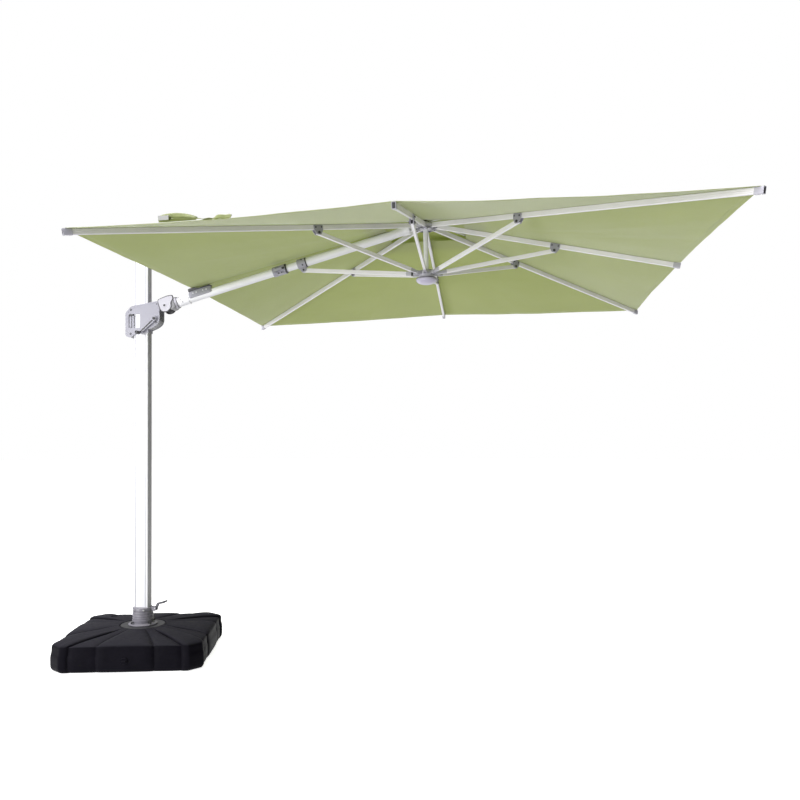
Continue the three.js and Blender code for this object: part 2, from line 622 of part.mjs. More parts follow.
function makeHub(canopy) {
  const slots = SPOKES.map((_, i) => block(38, 100, -8.75, 8.75, -20, 20).rotateZ(azimuth(i)));
  const holes = SPOKES.map((name, i) => {
    const isArm = name === 'arm';
    const radius = (isArm ? HUB_HINGE_RADIUS : RIB_PIN.radius) + PIN_CLEARANCE;
    const half = (isArm ? HUB_HINGE_HALF : RIB_PIN.half) + PIN_CLEARANCE;
    return rodY(RIB_PIVOT_RADIUS, 0, radius, -half, half, 8).rotateZ(azimuth(i));
  });
  const disc = turned([[0, -16], [68, -16], [75, -10], [75, 10], [68, 16], [0, 16]], 40);
  const hub = cut(disc, ...slots, ...holes, rodZ(0, 0, POST_RADIUS + GAP, -20, -4, 24));
  add(canopy, 'top_hub', hub, silver);
  const hinge = rodY(-RIB_PIVOT_RADIUS, 0, HUB_HINGE_RADIUS, -HUB_HINGE_HALF, HUB_HINGE_HALF, 16);
  add(canopy, 'hub_hinge_pin', hinge, steel);

  const post = cut(
    rodZ(0, 0, POST_RADIUS, LOWER_PIVOT.z - 24, -4 - GAP),
    rodZ(0, 0, POST_RADIUS - 2, LOWER_PIVOT.z - 30, -10),
  );
  add(canopy, 'centre_post', post, whiteMetal);

  // Vent spider: a boss on the hub with four springy rods under the vent cover's corners
  const rods = [1, 3, 5, 7].map((i) => {
    const rod = rodX(VENT_ROD.radius, 20, VENT_ROD.reach, 8).rotateY(VENT_ROD.slope);
    return rod.translate(0, 0, VENT_ROD.height).rotateZ(azimuth(i));
  });
  const boss = rodZ(0, 0, 30, 16 + GAP, 31, 24);
  add(canopy, 'vent_spider', join(boss, ...rods), steel);

  const cap = turned([
    [0, 31 + GAP], [8, 31 + GAP], [8, 50], [45, 50], [43, 56], [30, 62], [12, 65], [0, 65.5],
  ], 32);
  add(canopy, 'canopy_cap', cap, blackPlastic);

  // Lower hub: a crown round the post with a fork for every strut's end
  const z = LOWER_PIVOT.z;
  const forks = SPOKES.flatMap((_, i) => [
    block(30, LOWER_PIVOT.radius + 8, 9, 12, z - 9, z + 9).rotateZ(azimuth(i)),
    block(30, LOWER_PIVOT.radius + 8, -12, -9, z - 9, z + 9).rotateZ(azimuth(i)),
  ]);
  const crown = turned([
    [0, z - 30], [40, z - 30], [46, z - 20], [46, z + 10], [38, z + 20], [24, z + 24], [0, z + 24],
  ], 32);
  const armNotch = block(42, 90, -9, 9, z - 80, z + 80).rotateZ(azimuth(4));
  const lower = cut(join(crown, ...forks), rodZ(0, 0, POST_RADIUS + 2, z - 29, z + 40, 24), armNotch);
  add(canopy, 'lower_hub', lower, silver);
  const dome = turned([
    [0, z - 58], [20, z - 57], [42, z - 53], [56, z - 46],
    [61, z - 40], [60, z - 35], [54, z - 31], [0, z - 31],
  ], 40);
  const domeNotch = block(50, 90, -9.6, 9.6, z - 80, z).rotateZ(azimuth(4));
  add(canopy, 'lower_cap', cut(dome, domeNotch), greyPlastic);
}

function makeSpokes(canopy) {
  SPOKES.forEach((name, index) => {
    const plane = new THREE.Group();
    plane.rotation.z = azimuth(index);
    canopy.add(plane);
    if (name !== 'arm') {
      const rib = add(plane, `rib_${name}`, ribGeometry(index), silver);
      rib.position.x = RIB_PIVOT_RADIUS;
      rib.rotation.y = spokeSlope(index);
    }
    const pin = upperPin(index);
    const [dx, dz] = [LOWER_PIVOT.radius - pin.radius, LOWER_PIVOT.z - pin.z];
    const strut = add(plane, `strut_${name}`, strutGeometry(Math.hypot(dx, dz)), silver);
    strut.position.set(pin.radius, 0, pin.z);
    strut.rotation.y = Math.atan2(-dz, dx);
  });
}

// ---- Fabric ------------------------------------------------------------------------------------

const SEAM_GAP = 0.25;
const STRAP = { reach: 1430, from: 0.88, to: 0.5, halfWidth: 16, lift: 6, thickness: 5 };

// Height of the cloth's upper side over a spoke. Over the arm it starts higher, to clear the tube.
const ARM_CLOTH = { start: -14.5, end: -305 };

function clothOver(index, x) {
  const radius = x * spread(index);
  if (SPOKES[index] === 'arm') {
    const share = (x - VENT_OPENING_HALF) / (CANOPY_HALF - VENT_OPENING_HALF);
    return ARM_CLOTH.start + (ARM_CLOTH.end - ARM_CLOTH.start) * share;
  }
  return FABRIC_ABOVE_RIB - (radius - RIB_PIVOT_RADIUS) * Math.tan(spokeSlope(index));
}

// A panel runs from one gore's middle line to the next, over its spoke. Distances are measured at
// right angles to the hem, and side is how far along the hem from the spoke, from -1 to 1.
function panelPoint(index, x, side) {
  const neighbour = (index + (side < 0 ? 7 : 1)) % 8;
  const middle = isCorner(index) ? neighbour : index;
  const corner = isCorner(index) ? index : neighbour;
  const tangent = Math.tan(22.5 * DEG) * Math.abs(side);
  const across = isCorner(index) ? 1 - (1 - Math.tan(22.5 * DEG)) * Math.abs(side) : tangent;
  const height = clothOver(middle, x) + (clothOver(corner, x) - clothOver(middle, x)) * across;
  const turn = azimuth(middle);
  const ahead = isCorner(index) ? -Math.sign(side || 1) : Math.sign(side || 1);
  const y = ahead * x * across;
  const point = [x * Math.cos(turn) - y * Math.sin(turn), x * Math.sin(turn) + y * Math.cos(turn)];
  return [...point, height];
}

function panelGeometry(index) {
  const reach = [VENT_OPENING_HALF, 640, 1060, CANOPY_HALF];
  const sides = [-1, -0.5, 0, 0.5, 1];
  const away = azimuth(index);
  const rows = reach.map((x) => sides.map((side) => {
    const scallop = x === CANOPY_HALF ? HEM_SCALLOP * Math.sin(Math.abs(side) * 90 * DEG) : 0;
    const [px, py, pz] = panelPoint(index, x - scallop, side);
    const inward = Math.abs(side) === 1 ? side * SEAM_GAP : 0;
    return [px + inward * Math.sin(away), py - inward * Math.cos(away), pz];
  }));
  return sheet(rows, FABRIC_THICKNESS);
}

// A small second canopy over the opening, flatter than the first, so that its hem stands above it
function ventCoverGeometry() {
  const reach = [VENT_COVER.hole, 120, 240, VENT_COVER.half];
  const upper = reach.map((x) => SPOKES.map((name, i) => {
    const radius = x * spread(i);
    const slope = spokeSlope(name === 'arm' ? SPOKES.indexOf('right') : i);
    const z = VENT_COVER.top - radius * Math.tan(slope) * VENT_COVER.flatness;
    return [radius * Math.cos(azimuth(i)), radius * Math.sin(azimuth(i)), z];
  }));
  const lower = upper.map((ring) => ring.map(([x, y, z]) => [x, y, z - FABRIC_THICKNESS]));
  return ringBody([...upper, ...lower.reverse()]);
}

// Rings joined one to the next, the last to the first, into a body with a hole through it
function ringBody(rings) {
  const count = rings[0].length;
  const faces = [];
  rings.forEach((_, ring) => {
    const next = (ring + 1) % rings.length;
    for (let i = 0; i < count; i += 1) {
      const j = (i + 1) % count;
      const [a, b] = [ring * count + i, ring * count + j];
      const [c, d] = [next * count + j, next * count + i];
      faces.push(a, d, c, a, c, b);
    }
  });
  const geometry = new THREE.BufferGeometry();
  geometry.setAttribute('position', new THREE.Float32BufferAttribute(rings.flat(2), 3));
  geometry.setIndex(faces);
  return geometry;
}

function makeFabric(canopy) {
  SPOKES.forEach((name, index) => add(canopy, `canopy_panel_${name}`, panelGeometry(index), fabric));
  add(canopy, 'vent_cover', ventCoverGeometry(), fabric);

  // Closing strap, lying folded on the near left panel by its hem
  const nearLeft = SPOKES.indexOf('near_left');
  const from = panelPoint(nearLeft, STRAP.reach, STRAP.from);
  const to = panelPoint(nearLeft, STRAP.reach, STRAP.to);
  const length = Math.hypot(to[0] - from[0], to[1] - from[1]);
  const strap = block(0, length, -STRAP.halfWidth, STRAP.halfWidth, STRAP.lift, STRAP.lift + STRAP.thickness);
  strap.rotateY(-Math.atan2(to[2] - from[2], length));
  strap.rotateZ(Math.atan2(to[1] - from[1], to[0] - from[0]));
  add(canopy, 'closing_strap', strap.translate(...from), fabric);
}

// ---- Assembly ----------------------------------------------------------------------------------

const parasol = new THREE.Group();
const flangeTop = makeBase(parasol);
makeMast(parasol, flangeTop);
makeHousing(parasol);
makeArm(parasol);

const canopy = new THREE.Group();
canopy.position.set(HUB.x, 0, HUB.z);
canopy.rotation.y = -CANOPY_TILT;
parasol.add(canopy);
makeHub(canopy);
makeSpokes(canopy);
makeFabric(canopy);

export default parasol;
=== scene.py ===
import json
import math

import bmesh
import bpy
from mathutils import Matrix, Vector, noise


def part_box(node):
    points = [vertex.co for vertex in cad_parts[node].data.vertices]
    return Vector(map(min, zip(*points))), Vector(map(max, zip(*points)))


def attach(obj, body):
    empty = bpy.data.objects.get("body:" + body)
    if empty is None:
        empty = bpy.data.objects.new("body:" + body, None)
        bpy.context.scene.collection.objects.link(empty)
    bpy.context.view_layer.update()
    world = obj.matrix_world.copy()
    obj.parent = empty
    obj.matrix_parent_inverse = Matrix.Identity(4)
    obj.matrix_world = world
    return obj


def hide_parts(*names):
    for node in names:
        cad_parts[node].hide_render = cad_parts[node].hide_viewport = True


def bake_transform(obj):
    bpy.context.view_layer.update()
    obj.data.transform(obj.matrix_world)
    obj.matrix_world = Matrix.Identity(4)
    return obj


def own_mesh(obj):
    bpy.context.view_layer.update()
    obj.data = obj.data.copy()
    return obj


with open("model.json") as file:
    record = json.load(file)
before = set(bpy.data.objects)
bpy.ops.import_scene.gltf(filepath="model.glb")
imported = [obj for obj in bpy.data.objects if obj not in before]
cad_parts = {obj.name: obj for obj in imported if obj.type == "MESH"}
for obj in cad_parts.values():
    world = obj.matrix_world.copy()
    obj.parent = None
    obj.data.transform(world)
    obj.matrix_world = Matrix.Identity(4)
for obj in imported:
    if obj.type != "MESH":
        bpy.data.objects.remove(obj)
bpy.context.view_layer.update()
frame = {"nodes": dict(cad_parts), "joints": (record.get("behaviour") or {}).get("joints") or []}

NODES = frame["nodes"]
JOINTS = {joint["name"]: joint for joint in frame["joints"]}

# ---- Driving dimensions, as in the CAD model ----------------------------------------------------

BASE_TURN = math.radians(11.6)
# The tank is drawn 12 mm larger on each side than its CAD solid, as the photograph shows it
BASE_HALF = 0.447
CANOPY_HALF = 1.5
CORNER_DROP = 0.3435
MIDDLE_DROP = 0.3145
RIB_PIVOT_RADIUS = 0.060
CLOTH_ABOVE_RIB = 0.0174
VENT_OPENING_HALF = 0.240
VENT_COVER_HALF = 0.360
HALF_GORE = math.tan(math.radians(22.5))
SPOKES = ["right", "far_right", "far", "far_left", "arm", "near_left", "near", "near_right"]


def is_corner(index):
    return index % 2 == 1


def spread(index):
    return math.sqrt(2) if is_corner(index) else 1.0


def azimuth(index):
    return math.radians(45 * index)


# ---- Frames of the moving groups, from the record's joints ---------------------------------------

def axes_matrix(x_axis, y_axis, z_axis, origin):
    matrix = Matrix((x_axis, y_axis, z_axis)).transposed().to_4x4()
    matrix.translation = origin
    return matrix


def canopy_frame():
    up = -Vector(JOINTS["runner_slide"]["axis"])
    far = Vector(JOINTS["rib_fold_far"]["pos_m"])
    near = Vector(JOINTS["rib_fold_near"]["pos_m"])
    y_axis = (far - near).normalized()
    return axes_matrix(y_axis.cross(up), y_axis, up, (far + near) / 2)


def arm_frame():
    along = Vector(JOINTS["arm_twist"]["axis"])
    y_axis = Vector((0, 1, 0))
    return axes_matrix(along, y_axis, along.cross(y_axis), Vector(JOINTS["arm_tilt"]["pos_m"]))


CANOPY = canopy_frame()
ARM = arm_frame()
BASE = Matrix.Rotation(BASE_TURN, 4, "Z")


def spoke_frame(index):
    return CANOPY @ Matrix.Rotation(azimuth(index), 4, "Z")


def rib_slope(index):
    drop = CORNER_DROP if is_corner(index) else MIDDLE_DROP
    return math.atan2(drop, CANOPY_HALF * spread(index) - RIB_PIVOT_RADIUS)


def rib_frame(index):
    """Origin on the rib's pivot, X along the rib to its tip."""
    turned = Matrix.Rotation(rib_slope(index), 4, "Y")
    return spoke_frame(index) @ Matrix.Translation((RIB_PIVOT_RADIUS, 0, 0)) @ turned


def rib_length(index):
    drop = CORNER_DROP if is_corner(index) else MIDDLE_DROP
    return math.hypot(CANOPY_HALF * spread(index) - RIB_PIVOT_RADIUS, drop)


def body_of_spoke(name):
    return "arm_upper" if name == "arm" else f"rib_{name}"


# ---- Material nodes -------------------------------------------------------------------------------

class Shader:
    """A material with one Principled shader and short ways to add to its node tree."""

    def __init__(self, name, color, roughness, metallic=0.0, **sockets):
        self.material = bpy.data.materials.new(name)
        self.material.use_nodes = True
        self.tree = self.material.node_tree
        self.main = self.tree.nodes["Principled BSDF"]
        self.main.inputs["Base Color"].default_value = (*color, 1)
        self.main.inputs["Roughness"].default_value = roughness
        self.main.inputs["Metallic"].default_value = metallic
        for socket, value in sockets.items():
            self.main.inputs[socket.replace("_", " ")].default_value = value

    def node(self, kind, **values):
        made = self.tree.nodes.new(kind)
        for key, value in values.items():
            if hasattr(made, key):
                setattr(made, key, value)
            else:
                made.inputs[key.replace("_", " ")].default_value = value
        return made

    def link(self, output, target):
        self.tree.links.new(output, target)

    def noise(self, scale, detail=4.0, coordinates=None, roughness=0.55):
        made = self.node("ShaderNodeTexNoise", Scale=scale, Detail=detail, Roughness=roughness)
        if coordinates is None:
            coordinates = self.node("ShaderNodeTexCoord").outputs["Object"]
        self.link(coordinates, made.inputs["Vector"])
        return made.outputs["Fac"]

    def ramp(self, value, low, high, low_at=0.3, high_at=0.7):
        made = self.node("ShaderNodeValToRGB")
        made.color_ramp.elements[0].position = low_at
        made.color_ramp.elements[0].color = low
        made.color_ramp.elements[1].position = high_at
        made.color_ramp.elements[1].color = high
        self.link(value, made.inputs["Fac"])
        return made.outputs["Color"]

    def vary_color(self, value, low, high, low_at=0.3, high_at=0.7):
        color = self.ramp(value, (*low, 1), (*high, 1), low_at, high_at)
        self.link(color, self.main.inputs["Base Color"])
        return color

    def vary_roughness(self, value, low, high):
        made = self.node("ShaderNodeMapRange")
        made.inputs["To Min"].default_value = low
        made.inputs["To Max"].default_value = high
        self.link(value, made.inputs["Value"])
        self.link(made.outputs["Result"], self.main.inputs["Roughness"])

    def bump(self, height, distance, strength=1.0):
        made = self.node("ShaderNodeBump", Strength=strength, Distance=distance)
        self.link(height, made.inputs["Height"])
        if self.main.inputs["Normal"].is_linked:
            self.link(self.main.inputs["Normal"].links[0].from_socket, made.inputs["Normal"])
        self.link(made.outputs["Normal"], self.main.inputs["Normal"])


def make_cloth_material():
    cloth = Shader("cloth", (0.40, 0.45, 0.17), 0.62, Sheen_Weight=0.9, Sheen_Roughness=0.35)
    uv = cloth.node("ShaderNodeTexCoord").outputs["UV"]
    patches = cloth.noise(1.6, 3.0, uv)
    cloth.vary_color(patches, (0.415, 0.470, 0.140), (0.465, 0.520, 0.175))
    weave = []
    for axis in ("X", "Y"):
        threads = cloth.node("ShaderNodeTexWave", wave_type="BANDS", bands_direction=axis, Scale=260.0)
        cloth.link(uv, threads.inputs["Vector"])
        weave.append(threads.outputs["Fac"])
    crossed = cloth.node("ShaderNodeMath", operation="MULTIPLY")
    cloth.link(weave[0], crossed.inputs[0])
    cloth.link(weave[1], crossed.inputs[1])
    cloth.bump(crossed.outputs["Value"], 0.0002, 0.4)
    creases = cloth.noise(7.0, 2.0, uv)
    cloth.bump(creases, 0.004, 0.35)
    # Daylight through the cloth
    through = cloth.node("ShaderNodeBsdfTranslucent")
    through.inputs["Color"].default_value = (0.46, 0.52, 0.10, 1)
    mixed = cloth.node("ShaderNodeMixShader", Fac=0.30)
    output = cloth.tree.nodes["Material Output"]
    cloth.link(cloth.main.outputs["BSDF"], mixed.inputs[1])
    cloth.link(through.outputs["BSDF"], mixed.inputs[2])
    cloth.link(mixed.outputs["Shader"], output.inputs["Surface"])
    return cloth.material


def make_webbing():
    webbing = Shader("strap_webbing", (0.20, 0.23, 0.06), 0.8, Sheen_Weight=0.3, Sheen_Roughness=0.5)
    uv = webbing.node("ShaderNodeTexCoord").outputs["UV"]
    webbing.vary_color(webbing.noise(30.0, 3.0, uv), (0.170, 0.200, 0.055), (0.235, 0.265, 0.085))
    threads = webbing.node("ShaderNodeTexWave", wave_type="BANDS", bands_direction="Y", Scale=200.0)
    webbing.link(uv, threads.inputs["Vector"])
    webbing.bump(threads.outputs["Fac"], 0.0003, 0.5)
    return webbing.material


def make_moulded_black():
    plastic = Shader("moulded_black", (0.006, 0.0055, 0.0085), 0.55, Specular_IOR_Level=0.04)
    mottle = plastic.noise(9.0, 5.0)
    walls = plastic.ramp(mottle, (0.0030, 0.0026, 0.0048, 1), (0.0065, 0.0058, 0.0095, 1))
    # Painted light: surfaces that face up are painted lighter, as if lit from above
    facing = plastic.node("ShaderNodeSeparateXYZ")
    plastic.link(plastic.node("ShaderNodeNewGeometry").outputs["Normal"], facing.inputs[0])
    painted_top_light = plastic.ramp(facing.outputs["Z"], (0, 0, 0, 1), (1, 1, 1, 1), 0.35, 0.95)
    choice = plastic.node("ShaderNodeMix", data_type="RGBA")
    plastic.link(painted_top_light, choice.inputs["Factor"])
    plastic.link(walls, choice.inputs["A"])
    choice.inputs["B"].default_value = (0.024, 0.023, 0.030, 1)
    plastic.link(choice.outputs["Result"], plastic.main.inputs["Base Color"])
    plastic.vary_roughness(plastic.noise(40.0, 3.0), 0.42, 0.68)
    plastic.bump(plastic.noise(420.0, 2.0), 0.0006, 0.5)
    return plastic.material


def make_painted(name, color, roughness, grain):
    """Powder coat: an even colour with a fine orange peel."""
    paint = Shader(name, color, roughness, 0.0, Coat_Weight=0.15, Coat_Roughness=0.2)
    darker = tuple(0.94 * c for c in color)
    paint.vary_color(paint.noise(6.0, 4.0), darker, color)
    paint.vary_roughness(paint.noise(25.0, 3.0), roughness - 0.06, roughness + 0.08)
    paint.bump(paint.noise(grain, 2.0), 0.0002, 0.25)
    return paint.material


def make_metal(name, color, roughness, metallic=0.85):
    metal = Shader(name, color, roughness, metallic)
    darker = tuple(0.86 * c for c in color)
    metal.vary_color(metal.noise(12.0, 4.0), darker, color)
    metal.vary_roughness(metal.noise(60.0, 4.0), roughness - 0.08, roughness + 0.12)
    metal.bump(metal.noise(300.0, 2.0), 0.0001, 0.2)
    return metal.material


def make_sand():
    sand = Shader("dry_sand", (0.50, 0.38, 0.22), 0.95)
    sand.vary_color(sand.noise(900.0, 3.0), (0.42, 0.31, 0.17), (0.60, 0.48, 0.30))
    sand.bump(sand.noise(1200.0, 2.0), 0.001, 0.8)
    return sand.material


CLOTH = make_cloth_material()
WEBBING = make_webbing()
BASE_BLACK = make_moulded_black()
WHITE = make_painted("white_powder_coat", (0.86, 0.86, 0.90), 0.38, 900.0)
GREY = make_painted("grey_cast_paint", (0.345, 0.34, 0.40), 0.45, 500.0)
DARK = make_painted("dark_plastic", (0.030, 0.030, 0.034), 0.45, 600.0)
RIB_PAINT = make_painted("rib_powder_coat", (0.88, 0.86, 0.91), 0.36, 900.0)
CAST = make_painted("cast_hub_paint", (0.50, 0.49, 0.56), 0.40, 500.0)
STEEL = make_metal("zinc_steel", (0.60, 0.60, 0.62), 0.32)
DOME_GREY = make_painted("dome_paint", (0.50, 0.47, 0.62), 0.35, 700.0)
SADDLE_GREY = make_painted("saddle_paint", (0.30, 0.30, 0.35), 0.42, 500.0)
# Painted shade: a darker copy of the cast paint, for the housing's walls and the knuckle's web, which lie in
# shade
PAINTED_SHADE_GREY = make_painted("shaded_cast_paint", (0.22, 0.22, 0.235), 0.5, 500.0)
DARK_GREY = make_painted("dark_grey_paint", (0.10, 0.10, 0.115), 0.45, 500.0)
CHEEK = make_painted("pale_cast_paint", (0.52, 0.51, 0.57), 0.38, 500.0)
COLLAR_GREY = make_painted("collar_cast_paint", (0.235, 0.225, 0.265), 0.42, 500.0)
PATCH = make_painted("hook_patch", (0.46, 0.46, 0.47), 0.8, 1500.0)
SAND = make_sand()


# ---- Mesh helpers ---------------------------------------------------------------------------------

SHARP_ANGLE = math.radians(32)
ALONG_X = Matrix.Rotation(math.pi / 2, 4, "Y")


def mesh_object(name, points, faces, material, smooth=True, uvs=None):
    mesh = bpy.data.meshes.new(name)
    mesh.from_pydata([tuple(p) for p in points], [], faces)
    if uvs is not None:
        layer = mesh.uv_layers.new(name="flat")
        for loop in mesh.loops:
            layer.data[loop.index].uv = uvs[loop.vertex_index]
    mesh.polygons.foreach_set("use_smooth", [smooth] * len(mesh.polygons))
    mesh.materials.append(material)
    made = bpy.data.objects.new(name, mesh)
    bpy.context.scene.collection.objects.link(made)
    return made


def shade(piece):
    """Smooth over curves and crisp at corners."""
    piece.data.polygons.foreach_set("use_smooth", [True] * len(piece.data.polygons))
    piece.data.set_sharp_from_angle(angle=SHARP_ANGLE)


def settle(piece, body, matrix=None, bevel=0.0, segments=2, angle=30):
    """Places a piece, rounds its edges, and gives it its body."""
    if matrix is not None:
        piece.data.transform(matrix)
    if bevel:
        rounding = piece.modifiers.new("rounding", "BEVEL")
        rounding.width = bevel
        rounding.segments = segments
        rounding.limit_method = "ANGLE"
        rounding.angle_limit = math.radians(angle)
        rounding.harden_normals = True
        rounding.use_clamp_overlap = True
    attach(piece, body)
    return piece


def prism(name, outline, low, high, material):
    """An outline of (x, z) points made into a plate from y = low to y = high."""
    count = len(outline)
    points = [(x, low, z) for x, z in outline] + [(x, high, z) for x, z in outline]
    faces = [tuple(range(count)), tuple(reversed(range(count, 2 * count)))]
    for i in range(count):
        j = (i + 1) % count
        faces.append((j, i, count + i, count + j))
    made = mesh_object(name, points, faces, material)
    recalculate_normals(made)
    return made


def recalculate_normals(piece):
    work = bmesh.new()
    work.from_mesh(piece.data)
    bmesh.ops.recalc_face_normals(work, faces=work.faces)
    work.to_mesh(piece.data)
    work.free()
    shade(piece)


def lathe(name, profile, material, sides=48, matrix=None):
    """A profile of (radius, z) points turned round Z. It runs from axis to axis or closes on itself."""
    on_axis = profile[0][0] == 0
    inner = profile[1:-1] if on_axis else profile
    points = [
        (radius * math.cos(turn), radius * math.sin(turn), z)
        for radius, z in inner
        for turn in (2 * math.pi * i / sides for i in range(sides))
    ]
    faces = []
    rings = len(inner) if not on_axis else len(inner) - 1
    for ring in range(rings):
        above = (ring + 1) % len(inner)
        for i in range(sides):
            j = (i + 1) % sides
            faces.append((ring * sides + i, ring * sides + j, above * sides + j, above * sides + i))
    if on_axis:
        for end, ring in ((profile[0], 0), (profile[-1], len(inner) - 1)):
            centre = len(points)
            points.append((0, 0, end[1]))
            for i in range(sides):
                faces.append((centre, ring * sides + i, ring * sides + (i + 1) % sides))
    made = mesh_object(name, points, faces, material)
    recalculate_normals(made)
    if matrix is not None:
        made.data.transform(matrix)
    return made


def skin_faces(rings, count, wrap=True, capped=False):
    """Four-sided faces between rings of count points. A capped skin also has a face at each end."""
    faces = []
    for ring in range(rings - 1):
        for i in range(count if wrap else count - 1):
            a, b = ring * count + i, ring * count + (i + 1) % count
            faces.append((a, b, b + count, a + count))
    if capped:
        last = (rings - 1) * count
        faces.append(tuple(reversed(range(count))))
        faces.append(tuple(range(last, last + count)))
    return faces


def skinned(name, rings, material):
    """Rings of points, skinned one to the next and closed at both ends."""
    points = [point for ring in rings for point in ring]
    made = mesh_object(name, points, skin_faces(len(rings), len(rings[0]), capped=True), material)
    recalculate_normals(made)
    return made


def prism_along_x(name, rings, material):
    """Rings of (y, z) points, each at its x, made into one closed piece."""
    return skinned(name, [[(x, y, z) for y, z in section] for section, x in rings], material)


def extrusion(name, section, start, end, material):
    """A closed section of (y, z) points run along X from start to end."""
    return prism_along_x(name, [(section, start), (section, end)], material)


def block(name, low, high, material):
    outline = [(low[0], low[2]), (high[0], low[2]), (high[0], high[2]), (low[0], high[2])]
    return prism(name, outline, low[1], high[1], material)


def joined(name, pieces):
    """Several pieces made into one object."""
    work = bmesh.new()
    for piece in pieces:
        work.from_mesh(piece.data)
    mesh = bpy.data.meshes.new(name)
    work.to_mesh(mesh)
    work.free()
    mesh.materials.append(pieces[0].data.materials[0])
    for piece in pieces:
        bpy.data.objects.remove(piece)
    made = bpy.data.objects.new(name, mesh)
    bpy.context.scene.collection.objects.link(made)
    shade(made)
    return made


def carve(piece, *tools):
    """Cuts the tools out of the piece."""
    for tool in tools:
        cut = piece.modifiers.new("cut", "BOOLEAN")
        cut.operation = "DIFFERENCE"
        cut.solver = "EXACT"
        cut.object = tool
    graph = bpy.context.evaluated_depsgraph_get()
    mesh = bpy.data.meshes.new_from_object(piece.evaluated_get(graph))
    piece.modifiers.clear()
    piece.data = mesh
    for tool in tools:
        bpy.data.objects.remove(tool)
    shade(piece)
    return piece


def rounded_outline(corners, radius, steps=4):
    """An outline with each corner rounded by a curve that starts radius away from it."""
    points = []
    for i, place in enumerate(corners):
        corner = Vector(place)
        before = Vector(corners[i - 1]) - corner
        after = Vector(corners[(i + 1) % len(corners)]) - corner
        start = corner + before.normalized() * min(radius, 0.45 * before.length)
        end = corner + after.normalized() * min(radius, 0.45 * after.length)
        for step in range(steps + 1):
            t = step / steps
            points.append(tuple((1 - t) ** 2 * start + 2 * t * (1 - t) * corner + t ** 2 * end))
    return points


def arc(x, z, radius, first, last, steps):
    """Outline points on a circle, from one angle to another in degrees."""
    turns = [math.radians(first + (last - first) * step / steps) for step in range(steps + 1)]
    return [(x + radius * math.cos(turn), z + radius * math.sin(turn)) for turn in turns]


def span(side, inner, outer):
    """The y range between two distances from the middle, on the near side (-1) or the far side (1)."""
    return sorted((side * inner, side * outer))


def quarter_turned(p, q, quarter):
    """A flat point after a number of quarter turns."""
    return ((p, q), (-q, p), (-p, -q), (q, -p))[quarter]


def grooved_section(half_y, half_z, radius, grooves_y, grooves_z, width, depth, steps=4):
    """A rounded rectangle of (y, z) points. grooves_y cross the sides that face up and down, grooves_z
    the sides that face left and right."""
    points = []
    for quarter in range(4):
        faces_y = quarter % 2 == 0
        out, along = (half_y, half_z) if faces_y else (half_z, half_y)
        line = []
        for at in sorted(grooves_z if faces_y else grooves_y):
            line += [(out, at - width / 2), (out - depth, at - width / 3)]
            line += [(out - depth, at + width / 3), (out, at + width / 2)]
        for step in range(steps + 1):
            turn = math.pi / 2 * step / steps
            line.append((out - radius + radius * math.cos(turn), along - radius + radius * math.sin(turn)))
        points += [quarter_turned(p, q, quarter) for p, q in line]
    return points


def rod(name, start, end, radius, material, sides=32, edge=0.0006):
    """A round bar from one point to another, with small chamfers at its ends."""
    start, end = Vector(start), Vector(end)
    length = (end - start).length
    profile = [(0, 0), (radius - edge, 0), (radius, edge), (radius, length - edge)]
    profile += [(radius - edge, length), (0, length)]
    return lathe(name, profile, material, sides, axis_matrix(start, end - start))


def tube(name, outer, inner, start, end, material, sides=48, edge=0.0006):
    """A round tube along X."""
    profile = [(inner, start), (outer - edge, start), (outer, start + edge), (outer, end - edge)]
    profile += [(outer - edge, end), (inner, end)]
    return lathe(name, profile, material, sides, ALONG_X)


def rounded_rectangle(half_y, half_z, radius, steps=5):
    points = []
    for corner, (sy, sz) in enumerate(((1, 1), (-1, 1), (-1, -1), (1, -1))):
        for step in range(steps + 1):
            turn = math.pi / 2 * (corner + step / steps)
            y = sy * (half_y - radius) + radius * math.cos(turn)
            z = sz * (half_z - radius) + radius * math.sin(turn)
            points.append((y, z))
    return points


def axis_matrix(origin, direction):
    """Z along the direction, from the origin."""
    turn = Vector(direction).to_track_quat("Z", "Y").to_matrix().to_4x4()
    return Matrix.Translation(origin) @ turn


def screw_head(name, origin, direction, radius, body, material=None):
    """A domed screw head with a round socket."""
    height = radius * 0.62
    profile = [(0, height * 0.45), (radius * 0.42, height * 0.45), (radius * 0.46, height * 0.98)]
    profile += [(radius * 0.70, height), (radius * 0.93, height * 0.72), (radius, height * 0.3)]
    profile += [(radius, -height * 0.3), (0, -height * 0.3)]
    head = lathe(name, profile, material or STEEL, 24, axis_matrix(origin, direction))
    settle(head, body)


def screw_on(name, place, point, toward, radius, body, material=DARK):
    """A screw head at a point of a frame, facing along a direction of that frame."""
    screw_head(name, place @ Vector(point), place.to_3x3() @ Vector(toward), radius, body, material)


# ---- Camera, floor and light ---------------------------------------------------------------------

CAMERA_PLACE = (2.2781, -4.8202, 1.3501)
CAMERA_HEADING = 0.1269
CAMERA_LENS = 35.53
CAMERA_SHIFT = 0.0535
WORLD_LIGHT = 0.52
WORLD_LEAN = (-0.38, -0.22, -0.24)
LIGHTS = [
    ("key", (-3.2, -5.6, 1.7), (1.6, 0, 2.2), 2.4, 290),
    ("overhead", (0.5, -0.5, 7.5), (1.6, 0, 2.0), 5.0, 620),
]


def make_camera():
    camera = bpy.data.objects.new("camera", bpy.data.cameras.new("camera"))
    camera.location = CAMERA_PLACE
    camera.rotation_euler = (math.pi / 2, 0, CAMERA_HEADING)
    camera.data.lens = CAMERA_LENS
    camera.data.sensor_width = 36
    camera.data.shift_y = CAMERA_SHIFT
    bpy.context.scene.collection.objects.link(camera)
    bpy.context.scene.camera = camera


